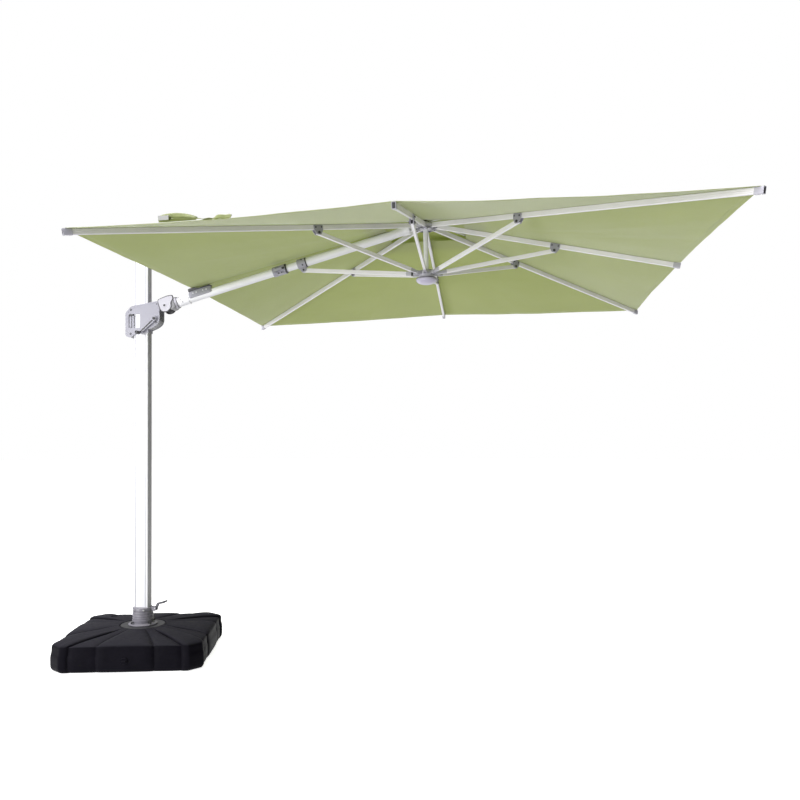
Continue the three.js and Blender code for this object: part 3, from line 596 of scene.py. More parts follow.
def make_floor():
    floor = Shader(
        "pale_floor", (0.90, 0.90, 0.90), 0.9, Emission_Color=(1, 1, 1, 1), Emission_Strength=0.85)
    disc = lathe("floor", [(0, 0), (60, 0), (60, -0.02), (0, -0.02)], floor.material, 64)
    disc.location.z = -0.001
    disc.visible_diffuse = False


def make_world():
    """White behind the object. Its light is stronger from the left and from below, as off a pale floor."""
    world = bpy.data.worlds.new("studio")
    world.use_nodes = True
    tree = world.node_tree
    background = tree.nodes["Background"]
    background.inputs["Color"].default_value = (1, 1, 1, 1)
    direction = tree.nodes.new("ShaderNodeTexCoord").outputs["Generated"]
    lean = tree.nodes.new("ShaderNodeVectorMath")
    lean.operation = "DOT_PRODUCT"
    lean.inputs[1].default_value = WORLD_LEAN
    tree.links.new(direction, lean.inputs[0])
    total = tree.nodes.new("ShaderNodeMath")
    total.operation = "ADD"
    total.inputs[1].default_value = WORLD_LIGHT
    tree.links.new(lean.outputs["Value"], total.inputs[0])
    path = tree.nodes.new("ShaderNodeLightPath")
    choice = tree.nodes.new("ShaderNodeMix")
    choice.inputs["B"].default_value = 1.0
    tree.links.new(path.outputs["Is Camera Ray"], choice.inputs["Factor"])
    tree.links.new(total.outputs["Value"], choice.inputs["A"])
    tree.links.new(choice.outputs["Result"], background.inputs["Strength"])
    bpy.context.scene.world = world


def make_lights():
    for name, place, aim, size, power in LIGHTS:
        light = bpy.data.objects.new(name, bpy.data.lights.new(name, "AREA"))
        light.data.energy = power
        light.data.size = size
        light.location = place
        light.rotation_euler = (Vector(aim) - Vector(place)).to_track_quat("-Z", "Y").to_euler()
        bpy.context.scene.collection.objects.link(light)
    bpy.context.scene.view_settings.view_transform = "Standard"


make_camera()
make_floor()
make_world()
make_lights()


# ---- Canopy cloth --------------------------------------------------------------------------------

CLOTH_THICKNESS = 0.0012
ARM_CLOTH_START = -0.0145
ARM_CLOTH_END = -0.305
GORE_SAG = 0.014
HEM_SCALLOP = 0.020
SEAM_HALF = 0.011
HEM_WIDTH = 0.028
RIDGE = 0.0009
CREASE_DEPTH = 0.005
VENT_HEIGHT = 0.047
VENT_SLOPE_SHARE = 0.73
CROWN_REACH = 0.072


def smooth_step(value):
    value = min(1.0, max(0.0, value))
    return value * value * (3 - 2 * value)


def over_spoke(index, reach):
    """Height of the cloth over a spoke, reach metres out at right angles to the hem."""
    if SPOKES[index] == "arm":
        share = (reach - VENT_OPENING_HALF) / (CANOPY_HALF - VENT_OPENING_HALF)
        return ARM_CLOTH_START + (ARM_CLOTH_END - ARM_CLOTH_START) * share
    return CLOTH_ABOVE_RIB - (reach * spread(index) - RIB_PIVOT_RADIUS) * math.tan(rib_slope(index))


def over_vent(index, reach):
    """Height of the vent cover over a spoke: a flatter canopy that stands above the first."""
    slope = rib_slope(0) if SPOKES[index] == "arm" else rib_slope(index)
    return VENT_HEIGHT - reach * spread(index) * math.tan(slope) * VENT_SLOPE_SHARE


def gore_of(index, side):
    """The middle spoke, corner spoke and turn direction of the gore on one side of a spoke."""
    neighbour = (index + side) % 8
    if is_corner(index):
        return neighbour, index, -side
    return index, neighbour, side


def cloth_point(index, side, reach, across, height_over, scallop, sag):
    """A point of the canopy in its own frame. across runs from 0 at a gore's middle spoke to 1 at its
    corner spoke."""
    middle, corner, turn = gore_of(index, side)
    bow = 4 * across * (1 - across)
    share = reach / CANOPY_HALF
    reach = reach - scallop * bow * share ** 3
    height = height_over(middle, reach) * (1 - across) + height_over(corner, reach) * across
    height -= sag * bow * share
    gore = middle * 8 + corner
    crease = noise.noise(Vector((gore * 3.7, across * 5.0, reach * 1.3)))
    pull = noise.noise(Vector((gore * 1.9, across * 22.0 / (0.3 + share), reach * 0.9)))
    height += CREASE_DEPTH * bow * share * (crease + 0.35 * pull)
    x, y = reach, turn * reach * across
    heading = azimuth(middle)
    return Vector((
        x * math.cos(heading) - y * math.sin(heading),
        x * math.sin(heading) + y * math.cos(heading),
        height,
    ))


def across_columns(index, reach, steps):
    """Places across half a spoke's cloth: close together at the seam, then even to mid gore."""
    near_seam = [0.0, 0.6 * SEAM_HALF, SEAM_HALF, 1.25 * SEAM_HALF, 2.2 * SEAM_HALF]
    if is_corner(index):
        columns = [1 - offset * math.sqrt(2) / reach for offset in near_seam]
    else:
        columns = [offset / reach for offset in near_seam]
    last = columns[-1]
    columns += [last + (HALF_GORE - last) * (step + 1) / steps for step in range(steps)]
    return columns


def cloth_rows(start, end, steps):
    rows = [start, start + 0.006]
    rows += [start + 0.006 + (end - HEM_WIDTH - 0.010 - start) * (i + 1) / steps for i in range(steps)]
    return rows + [end - HEM_WIDTH, end - HEM_WIDTH + 0.003, end - 0.010, end - 0.003, end]


def spoke_cloth(name, index, start, end, height_over, scallop, sag, steps):
    """One spoke's cloth, from mid gore to mid gore, with its seam ridge and hem."""
    rows = cloth_rows(start, end, steps)
    points, uvs = [], []
    for reach in rows:
        line = []
        for side in (-1, 1):
            columns = across_columns(index, reach, 12)
            half = []
            for column, across in enumerate(columns):
                point = cloth_point(index, side, reach, across, height_over, scallop, sag)
                seam = 1 - smooth_step((column - 1) / 2)
                hem = smooth_step((reach - end + HEM_WIDTH) / 0.003)
                point.z += RIDGE * max(seam, hem)
                offset = reach * (1 - across) / math.sqrt(2) if is_corner(index) else reach * across
                half.append((point, (side * offset, reach * spread(index))))
            line = list(reversed(half[1:])) + [half[0]] if side == -1 else line + half[1:]
        points += [point for point, _ in line]
        uvs += [uv for _, uv in line]
    faces = skin_faces(len(rows), len(points) // len(rows), wrap=False)
    made = mesh_object(name, points, faces, CLOTH, uvs=uvs)
    thicken_cloth(made)
    made.data.transform(CANOPY)
    return made


def thicken_cloth(cloth):
    """Gives a cloth its upper side, its thickness below and crisp borders."""
    if sum(face.normal.z for face in cloth.data.polygons) < 0:
        cloth.data.flip_normals()
    work = bmesh.new()
    work.from_mesh(cloth.data)
    for edge in work.edges:
        edge.smooth = not edge.is_boundary
    work.to_mesh(cloth.data)
    work.free()
    thickness = cloth.modifiers.new("thickness", "SOLIDIFY")
    thickness.thickness = CLOTH_THICKNESS
    thickness.offset = -1


def fold_with_spoke(piece, index):
    """The piece rides on its spoke."""
    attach(piece, body_of_spoke(SPOKES[index]))
    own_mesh(piece)


def make_canopy():
    for index, name in enumerate(SPOKES):
        panel = spoke_cloth(
            f"cloth_{name}", index, VENT_OPENING_HALF, CANOPY_HALF, over_spoke, HEM_SCALLOP, GORE_SAG, 34)
        fold_with_spoke(panel, index)
        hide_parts(f"canopy_panel_{name}")
        petal = spoke_cloth(
            f"vent_petal_{name}", index, CROWN_REACH, VENT_COVER_HALF, over_vent, 0.008, 0.004, 8)
        fold_with_spoke(petal, index)
    crown = vent_crown()
    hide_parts("vent_cover")


def vent_crown():
    """The middle of the vent cover, clamped under the cap, as one round piece on the hub."""
    reaches = [0.014, 0.030, 0.050, CROWN_REACH]
    parts = 6
    points = []
    for reach in reaches:
        for index in range(len(SPOKES)):
            for part in range(parts):
                across = 1 - part / parts if is_corner(index) else part / parts
                points.append(cloth_point(index, 1, reach, across, over_vent, 0, 0))
    faces = skin_faces(len(reaches), len(SPOKES) * parts)
    crown = mesh_object("vent_crown", points, faces, CLOTH, uvs=[(point.x, point.y) for point in points])
    thicken_cloth(crown)
    settle(crown, "hub", CANOPY)
    return crown


make_canopy()


def dress(node, material, bevel=0.0008):
    """A CAD node that stays in view: its material, and small rounded edges."""
    piece = NODES[node]
    piece.data.materials.clear()
    piece.data.materials.append(material)
    weld = piece.modifiers.new("weld", "WELD")
    weld.merge_threshold = 0.00002
    rounding = piece.modifiers.new("rounding", "BEVEL")
    rounding.width = bevel
    rounding.segments = 2
    rounding.limit_method = "ANGLE"
    rounding.angle_limit = SHARP_ANGLE


# ---- Base ----------------------------------------------------------------------------------------

BAND_EDGES = (-0.87, -0.45, 0.45, 0.87)
GROOVE_HALF = 0.022
GROOVE_DEPTH = 0.014
TANK_RECESS = 0.142
RECESS_DEPTH = 0.008
STUD_CIRCLE = 0.0765
NUT_RADIUS = 0.0085

# Outside of the tank: height, half width, corner cut, and the grooves' share inwards and downwards
TANK_LEVELS = [
    (0.000, 0.428, 0.064, 0.6, 0), (0.004, 0.434, 0.066, 0.6, 0), (0.016, 0.443, 0.069, 0.9, 0),
    (0.026, 0.447, 0.070, 1.0, 0), (0.060, 0.447, 0.070, 1.0, 0), (0.100, 0.447, 0.070, 1.0, 0),
    (0.105, 0.441, 0.069, 1.0, 0), (0.146, 0.441, 0.069, 1.0, 0), (0.156, 0.438, 0.068, 1.0, 0.3),
    (0.165, 0.427, 0.066, 0.7, 1.0), (0.172, 0.404, 0.062, 0, 1.2), (0.178, 0.372, 0.058, 0, 1.2),
    (0.1835, 0.313, 0.050, 0, 1.2), (0.188, 0.250, 0.043, 0, 1.2), (0.190, 0.215, 0.040, 0, 1.0),
    (0.190, 0.176, 0.040, 0, 0.4),
]


def side_places():
    """Places along one side, from -1 to 1: close together at each groove."""
    places = [-1.0, -0.975]
    for edge in BAND_EDGES:
        places += [edge + share * GROOVE_HALF for share in (-1, -0.4, 0.4, 1)]
        if edge == BAND_EDGES[1]:
            places += [-0.15, 0.15]
    return places + [0.975, 1.0]


def groove_at(place):
    if any(abs(place - edge) < 0.5 * GROOVE_HALF for edge in BAND_EDGES):
        return 1.0
    in_band = BAND_EDGES[2] < abs(place) < BAND_EDGES[3]
    return 0.35 if in_band else 0.0


def tank_ring(height, half, corner, inward, downward):
    ring = []
    for quarter in range(4):
        for place in side_places():
            depth = GROOVE_DEPTH * groove_at(place)
            flat = quarter_turned(half - depth * inward, place * (half - corner), quarter)
            ring.append(Vector((*flat, height - depth * downward)))
        for share in (0.08, 0.92):
            flat = quarter_turned(half - corner * share, half - corner * (1 - share), quarter)
            ring.append(Vector((*flat, height)))
    return ring


def round_ring(like, radius, height):
    return [Vector((p.x, p.y, 0)).normalized() * radius + Vector((0, 0, height)) for p in like]


def make_tank():
    rings = [tank_ring(0.0, 0.380, 0.060, 0, 0)]
    rings += [tank_ring(*level) for level in TANK_LEVELS]
    top = TANK_LEVELS[-1][0]
    for radius, height in ((0.152, top), (0.146, top), (0.1425, top - 0.003), (TANK_RECESS, top - 0.006),
                           (0.138, top - RECESS_DEPTH), (0.060, top - RECESS_DEPTH)):
        rings.append(round_ring(rings[-1], radius, height))
    tank = skinned("tank", rings, BASE_BLACK)
    tank.data.set_sharp_from_angle(angle=math.pi)
    smoothing = tank.modifiers.new("smoothing", "SUBSURF")
    smoothing.levels = 1
    smoothing.render_levels = 1
    settle(tank, "base", BASE)
    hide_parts("base_tank")


def knurled_disc(name, radius, height, ribs, material):
    """A cap round Z with ribs round its edge, a raised rim and a dished top."""
    steps = ribs * 4
    rings = []
    for share, level, depth in ((0.94, 0, 0), (1, 0.001, 1), (1, height - 0.0015, 1), (0.95, height, 0),
                                (0.82, height, 0), (0.78, height - 0.0012, 0)):
        ring = []
        for i in range(steps):
            turn = 2 * math.pi * i / steps
            r = radius * share - (0.0012 * depth if i % 4 < 2 else 0)
            ring.append((r * math.cos(turn), r * math.sin(turn), level))
        rings.append(ring)
    return skinned(name, rings, material)


def turned_cap(name, radius, height, ribs, bar_outline, corner):
    """A knurled disc with a bar across it to turn it by."""
    disc = knurled_disc("disc", radius, height, ribs, BASE_BLACK)
    bar = prism("bar", rounded_outline(bar_outline, corner), -0.004, 0.004, BASE_BLACK)
    return joined(name, [disc, bar])


def make_caps():
    """Filler cap on top of the tank and drain plug in its near wall."""
    outline = [(-0.019, 0.010), (0.019, 0.010), (0.017, 0.0185), (-0.017, 0.0185)]
    cap = turned_cap("filler_lid", 0.0255, 0.014, 24, outline, 0.004)
    settle(cap, "base", BASE @ Matrix.Translation((-0.250, 0.250, 0.1735)), 0.0005)
    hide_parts("filler_cap")
    outline = [(-0.015, 0.005), (0.015, 0.005), (0.013, 0.0135), (-0.013, 0.0135)]
    drain = turned_cap("drain_stopper", 0.0205, 0.007, 20, outline, 0.003)
    facing = axis_matrix((0, -BASE_HALF + 0.0005, 0.070), (0, -1, 0))
    settle(drain, "base", BASE @ facing, 0.0005)
    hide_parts("drain_plug")


def hexagon_nut(name, x, y, z, material):
    corners = [math.pi / 3 * i for i in range(6)]
    outline = [(NUT_RADIUS * math.cos(corner), NUT_RADIUS * math.sin(corner)) for corner in corners]
    nut = prism(name, outline, 0, 0.007, material)
    nut.data.transform(Matrix.Translation((x, y, z)) @ Matrix.Rotation(math.pi / 2, 4, "X"))
    return nut


def make_flange():
    low, high = (corner.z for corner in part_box("swivel_flange"))
    rim = low + 0.011
    profile = [(0, low), (0.086, low), (0.089, low + 0.002), (0.089, low + 0.006), (0.085, low + 0.0085)]
    profile += [(0.076, low + 0.0092), (0.071, rim), (0.0665, rim), (0.064, low + 0.0145)]
    profile += [(0.0285, low + 0.0146), (0.028, high), (0, high)]
    disc = lathe("flange_disc", profile, COLLAR_GREY, 64)
    turns = [math.radians(turn) for turn in (45, 135, 225, 315)]
    studs = [(STUD_CIRCLE * math.cos(turn), STUD_CIRCLE * math.sin(turn)) for turn in turns]
    pads = [rod("pad", (x, y, rim - 0.004), (x, y, rim), 0.0110, COLLAR_GREY, 24) for x, y in studs]
    flange = joined("flange", [disc] + pads)
    settle(flange, "base", BASE, 0.0006)
    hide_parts("swivel_flange")
    nuts = []
    for x, y in studs:
        nuts.append(hexagon_nut("nut", x, y, rim + 0.007, DARK))
        nuts.append(rod("washer", (x, y, rim - 0.0001), (x, y, rim + 0.0012), 0.0105, DARK, 24, 0.0003))
    settle(joined("stud_nuts", nuts), "base", BASE, 0.0008)


make_tank()
make_caps()
make_flange()
dress("sand_fill", SAND)
# The anchor plate is dark: a dark coat, with painted shade for the tank's recess round the flange
dress("anchor_plate", DARK)


# ---- Mast ----------------------------------------------------------------------------------------

MAST_HALF_X = 0.046
MAST_HALF_Y = 0.031
MAST_GROOVES = (-0.0375, 0.029)
TRACK_HALF = 0.022


def upright(name, rings, material):
    """Rings of (section, height) skinned up Z. A section is (y, z) points: y stays y, z becomes -x."""
    made = prism_along_x(name, rings, material)
    made.data.transform(Matrix.Rotation(-math.pi / 2, 4, "Y"))
    return made


def make_mast():
    low, high = (corner.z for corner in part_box("mast_tube"))
    section = grooved_section(MAST_HALF_Y, MAST_HALF_X, 0.005, (), MAST_GROOVES, 0.0050, 0.0022)
    tube_piece = upright("mast", [(section, low), (section, high)], WHITE)
    settle(tube_piece, "mast")
    # Darker strips in the grooves of the near and far sides, painted shade in the grooves, and a grooved
    # track on each narrow side
    groove_shade_strips = []
    foot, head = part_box("swivel_collar")[0].z + 0.101, high - 0.001
    for groove in MAST_GROOVES:
        for side in (-1, 1):
            x, y = -side * groove, side * 0.0300
            corner = (x - 0.0024, y - 0.0003, foot)
            groove_shade_strips.append(block("painted_shade_strip", corner, (x + 0.0024, y + 0.0003, head), GREY))
    settle(joined("mast_groove_shade", groove_shade_strips), "mast")
    track = grooved_section(TRACK_HALF, 0.0461, 0.0006, (-0.0075, 0.0075), (), 0.0040, 0.0012)
    tracks = upright("mast_tracks", [(track, foot), (track, head)], COLLAR_GREY)
    settle(tracks, "mast")
    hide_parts("mast_tube")
    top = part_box("mast_top_cap")[1].z
    plain = [
        rounded_rectangle(MAST_HALF_Y - shrink, MAST_HALF_X - shrink, max(0.009 - shrink / 2, 0.004))
        for shrink in (0.0, -0.0004, -0.0004, 0.001, 0.004, 0.009)
    ]
    levels = (high + 0.0003, high + 0.001, top - 0.007, top - 0.0035, top - 0.001, top)
    cap = upright("mast_cap", list(zip(plain, levels)), GREY)
    settle(cap, "mast")
    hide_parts("mast_top_cap")


def make_collar():
    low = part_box("swivel_collar")[0].z
    profile = [(0, low), (0.0605, low), (0.062, low + 0.002), (0.066, low + 0.009), (0.066, low + 0.023)]
    for ring in (0.026, 0.041, 0.058, 0.075):
        profile += [(0.064, low + ring - 0.001), (0.0605, low + ring), (0.0605, low + ring + 0.004)]
        profile += [(0.065, low + ring + 0.005)]
    profile += [(0.065, low + 0.092), (0.063, low + 0.097), (0.059, low + 0.100), (0, low + 0.100)]
    sleeve = lathe("sleeve", profile, COLLAR_GREY, 64)
    ear = rounded_outline([(0.056, 0.276), (0.094, 0.276), (0.094, 0.303), (0.056, 0.303)], 0.008)
    ears = [
        prism("ear", ear, side * 0.0115 - 0.0035, side * 0.0115 + 0.0035, COLLAR_GREY)
        for side in (-1, 1)
    ]
    bosses = []
    screws = []
    for turn in (-62, 62, 118, 242):
        heading = Vector((math.cos(math.radians(turn)), math.sin(math.radians(turn)), 0))
        level = Vector((0, 0, low + 0.086))
        centre = heading * 0.060 + level
        bosses.append(rod("boss", centre, centre + heading * 0.0085, 0.0075, COLLAR_GREY, 20))
        screws.append((f"collar_screw_{turn % 360}", heading * 0.0685 + level, heading))
    collar = joined("turning_collar", [sleeve] + ears + bosses)
    settle(collar, "mast", None, 0.0007)
    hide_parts("swivel_collar")
    for name, place, heading in screws:
        screw_head(name, place, heading, 0.0052, "mast")


def make_pedal():
    profile = [(0.076, 0.283), (0.092, 0.283), (0.101, 0.298), (0.106, 0.3130), (0.120, 0.3195)]
    profile += [(0.142, 0.3240), (0.160, 0.3340), (0.160, 0.3450), (0.140, 0.3365), (0.116, 0.3320)]
    profile += [(0.096, 0.326), (0.086, 0.306), (0.076, 0.299)]
    arm = prism("pedal_arm", rounded_outline(profile, 0.004), -0.0075, 0.0075, DARK_GREY)
    plate = [(0.130, 0.3290), (0.142, 0.3305), (0.160, 0.3395)]
    plate += [(0.160, 0.3440), (0.141, 0.3355), (0.130, 0.3335)]
    tread = prism("tread", rounded_outline(plate, 0.0015), -0.024, 0.024, DARK_GREY)
    pedal = joined("pedal", [arm, tread])
    settle(pedal, "pedal", None, 0.0010)
    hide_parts("foot_pedal")
    ribs = []
    for x, z in ((0.1320, 0.3325), (0.1375, 0.3335), (0.1430, 0.3355), (0.1485, 0.3382), (0.1540, 0.3408)):
        rib = [(x, z), (x + 0.0028, z + 0.0012), (x + 0.0020, z + 0.0040), (x + 0.0004, z + 0.0032)]
        ribs.append(prism("rib", rib, -0.021, 0.021, DARK))
    settle(joined("pedal_grip", ribs), "pedal", None, 0.0004)


make_mast()
make_collar()
make_pedal()
dress("pedal_pin", STEEL)


# ---- Sliding housing -----------------------------------------------------------------------------

HOUSING_HALF = 0.038
FACE_PLATE = 0.007
HOUSING_OUTLINE = [
    (-0.101, 2.032), (-0.072, 2.021), (-0.030, 2.044), (0.040, 2.067), (0.092, 2.088), (0.118, 2.108),
    (0.127, 2.132), (0.127, 2.240), (0.115, 2.252), (-0.040, 2.226), (-0.066, 2.219), (-0.101, 2.181),
]
WINDOW = (-0.079, -0.003, 2.083, 2.172)
LINER_SPACE = (0.050, 0.0344)
PIVOT = ARM.translation
CRANK_AXIS = Vector((0.099, 0, 2.1395))
CRANK_KNOB = Vector((-0.0025, 0, 2.049))
HOUSING_SCREWS = [(-0.064, 2.200), (0.108, 2.233), (-0.066, 2.046), (0.106, 2.116)]


def inset_outline(outline, amount):
    """The outline drawn in towards its middle by about the amount."""
    middle = sum((Vector(p) for p in outline), Vector((0, 0))) / len(outline)
    return [tuple(Vector(p) + (middle - Vector(p)).normalized() * amount) for p in outline]


def bore(centre, start, end, radius, sides=32):
    """A round cutter along Y through a centre."""
    return rod("tool", (centre.x, start, centre.z), (centre.x, end, centre.z), radius, GREY, sides)


def housing_tools(y0, y1):
    """Cutters: room for the mast and its liner, the hand window, the crank's drum and the arm's pin."""
    x0, x1, z0, z1 = WINDOW
    hand = [(x0, z0), (x1, z0), (x1, z1), (x0, z1)]
    grip = prism("tool", rounded_outline(hand, 0.007), y0 - 0.01, y1 + 0.01, GREY)
    return [
        block("tool", (-LINER_SPACE[0], -LINER_SPACE[1], 1.9), (LINER_SPACE[0], LINER_SPACE[1], 2.4), GREY),
        block("tool", (-0.0925, -0.0338, z0), (-LINER_SPACE[0] + 0.001, 0.0338, z1), GREY),
        grip,
        bore(CRANK_AXIS, -0.031, 0.031, 0.0215, 40),
        bore(PIVOT, -0.06, 0.06, 0.0085),
    ]


def make_shell(side, node):
    """Half of the housing: a light face plate on a ribbed wall painted dark grey as painted shade."""
    inner, outer = 0.00015, HOUSING_HALF - FACE_PLATE
    y0, y1 = span(side, inner, outer)
    wall_outline = rounded_outline(inset_outline(HOUSING_OUTLINE, 0.003), 0.012)
    lug_outline = [(0.112, 2.194), (0.150, 2.2045), *arc(PIVOT.x, PIVOT.z, 0.0165, -125, 125, 12)]
    lug_outline += [(0.150, 2.239), (0.112, 2.241)]
    wall = carve(prism("wall", wall_outline, y0, y1, PAINTED_SHADE_GREY), *housing_tools(y0, y1))
    lug = prism("lug", lug_outline, *span(side, inner, 0.0148), PAINTED_SHADE_GREY)
    carve(lug, bore(PIVOT, -0.06, 0.06, 0.0085))
    ribs = []
    for number in range(5):
        y = side * (0.004 + 0.006 * number)
        low, high = sorted((y, y + side * 0.002))
        ribs.append(block("rib", (0.1225, low, 2.128), (0.1268, high, 2.238), PAINTED_SHADE_GREY))
    body = joined(f"{node}_wall", [wall, lug] + ribs)
    settle(body, "slider", None, 0.0006)
    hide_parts(node)
    y0, y1 = span(side, outer, HOUSING_HALF)
    plate = prism("plate", rounded_outline(HOUSING_OUTLINE, 0.014, 6), y0, y1, GREY)
    carve(plate, *housing_tools(y0, y1))
    if side < 0:
        carve(plate, bore(CRANK_AXIS, -0.05, 0, 0.006))
    plate.name = f"{node}_plate"
    settle(plate, "slider", None, 0.0016, 3)
    bead = rounded_outline(inset_outline(HOUSING_OUTLINE, 0.010), 0.012, 6)
    rim = prism(f"{node}_bead", bead, *span(side, 0.0375, 0.0388), GREY)
    opening = rounded_outline(inset_outline(HOUSING_OUTLINE, 0.014), 0.010, 6)
    carve(rim, prism("tool", opening, -0.06, 0.06, GREY))
    settle(rim, "slider", None, 0.0005)
    # Screw heads painted dark: painted shade for the screw holes
    for number, (x, z) in enumerate(HOUSING_SCREWS):
        # The screw beside the knuckle is smaller, so that the raised arm clears it
        radius = 0.0055 if number == 1 else 0.0075
        place = (x, side * 0.0352, z)
        screw_head(f"{node}_screw_{number}", place, (0, side, 0), radius, "slider", DARK)


def make_window_shade_and_guides():
    """Dark strips round the squeeze bar, painted shade for the pocket and the slits beside it, and pale
    guides beside it, in both faces of the housing.
    """
    x0, _, z0, z1 = WINDOW
    shade_strips, guides = [], []
    for side in (-1, 1):
        low, high = span(side, 0.0345, 0.0374)
        # Dark strips at the window's top and left edge and between the bar and the guide: painted shade
        shade_strips.append(block("cap", (x0 + 0.0002, low, z1 - 0.0110), (-0.0500, high, z1 - 0.0003), DARK))
        shade_strips.append(block("edge", (x0 + 0.0001, low, z0 + 0.0003), (x0 + 0.0007, high, z1 - 0.0100), DARK))
        shade_strips.append(block("slit_shade", (-0.0602, low, z0 + 0.0003), (-0.0562, high, z1 - 0.0112), DARK))
        guides.append(block("guide", (-0.0560, low, z0 + 0.0003), (-0.0435, high, z1 - 0.0115), GREY))
    settle(joined("window_shade_strips", shade_strips), "slider", None, 0.0005)
    settle(joined("window_guides", guides), "slider", None, 0.0008)


def make_trigger():
    low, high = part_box("release_trigger")
    top = high.z - 0.0110
    root = block("root", low, (-0.0690, high.y, top), GREY)
    left, right = -0.0700, -0.0608
    outline = [(left, low.z), (right - 0.002, low.z)]
    count = 4
    for finger in range(count):
        step = (top - low.z) / count
        base = low.z + finger * step
        outline += [(right, base + 0.25 * step), (right, base + 0.75 * step), (right - 0.0015, base + step)]
    outline += [(left, top)]
    grip = prism("squeeze_bar", rounded_outline(outline, 0.003), -0.0372, 0.0372, GREY)
    bar = joined("squeeze_bar", [grip, root])
    settle(bar, "trigger", None, 0.0012, 3)
    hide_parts("release_trigger")


def make_crank():
    reach = (CRANK_KNOB - CRANK_AXIS).length
    heading = (CRANK_KNOB - CRANK_AXIS).normalized()
    local = axes_matrix(heading, Vector((0, 1, 0)), heading.cross(Vector((0, 1, 0))), CRANK_AXIS)
    outline = arc(0, 0, 0.014, 90, 270, 12) + arc(reach, 0, 0.009, -90, 90, 12)
    lever = prism("lever", outline, -0.054, -0.0485, GREY)
    slot = [(0.020, -0.0045), (reach - 0.014, -0.003), (reach - 0.014, 0.003), (0.020, 0.0045)]
    carve(lever, prism("tool", rounded_outline(slot, 0.003), -0.06, -0.052, GREY))
    boss = rod("boss", (0, -0.0565, 0), (0, -0.0465, 0), 0.0125, GREY)
    end = rod("end", (reach, -0.0555, 0), (reach, -0.0465, 0), 0.0085, GREY)
    spindle = rod("spindle", (reach, -0.090, 0), (reach, -0.050, 0), 0.0038, GREY, 20)
    crank = joined("winding_crank", [lever, boss, end, spindle])
    settle(crank, "crank", local, 0.0007)
    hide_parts("crank_arm")
    # A dark strip fills the lever's slot: painted shade for the shadow in the slot
    slot_shade_outline = [(0.016, -0.0035), (reach - 0.010, -0.0025), (reach - 0.010, 0.0048), (0.016, 0.0060)]
    painted_shade_strip = prism("crank_slot_shade", rounded_outline(slot_shade_outline, 0.002), -0.0546, -0.0530, DARK)
    settle(painted_shade_strip, "crank", local)
    crank_end = CRANK_AXIS + Vector((0, -0.0565, 0))
    screw_head("crank_screw", crank_end, (0, -1, 0), 0.0095, "crank", DARK)
    profile = [(0.0044, 0.0005), (0.0088, 0.0005), (0.0112, 0.004), (0.0113, 0.008), (0.0095, 0.014)]
    profile += [(0.0093, 0.020), (0.0102, 0.026), (0.0113, 0.031), (0.0108, 0.036), (0.008, 0.0395)]
    profile += [(0.0044, 0.040)]
    place = axis_matrix((CRANK_KNOB.x, -0.0545, CRANK_KNOB.z), (0, -1, 0))
    knob = lathe("crank_grip", profile, DARK, 40, place)
    settle(knob, "knob")
    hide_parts("crank_knob")


make_shell(-1, "housing_near_shell")
make_shell(1, "housing_far_shell")
make_window_shade_and_guides()
make_trigger()
make_crank()
dress("slide_liner", GREY, 0.0004)
dress("cord_drum", DARK)
dress("arm_pivot_pin", STEEL)


# ---- Arm -----------------------------------------------------------------------------------------

KNUCKLE_INNER = 0.0395
KNUCKLE_OUTER = 0.0445
LOWER_TUBE = 0.025
INNER_TUBE = 0.0225
UPPER_TUBE = 0.026
TWIST_START, TWIST_JOINT, TWIST_END = 0.726, 0.735, 0.818
TWIST_LEVER = 0.744
STRUT_ALONG_ARM = 0.741
ARM_LENGTH = (CANOPY.translation - PIVOT).dot(ARM.col[0].xyz) - RIB_PIVOT_RADIUS * (
    CANOPY.col[0].xyz.dot(ARM.col[0].xyz))
STRUT_COLLAR = ARM_LENGTH - STRUT_ALONG_ARM


def arm_screw(name, x, turn, reach, radius, body):
    """A dark screw head on the arm's near side, turned up by an angle in degrees."""
    turn = math.radians(turn)
    toward = Vector((0, -math.cos(turn), math.sin(turn)))
    screw_on(name, ARM, Vector((x, 0, 0)) + toward * reach, toward, radius, body)


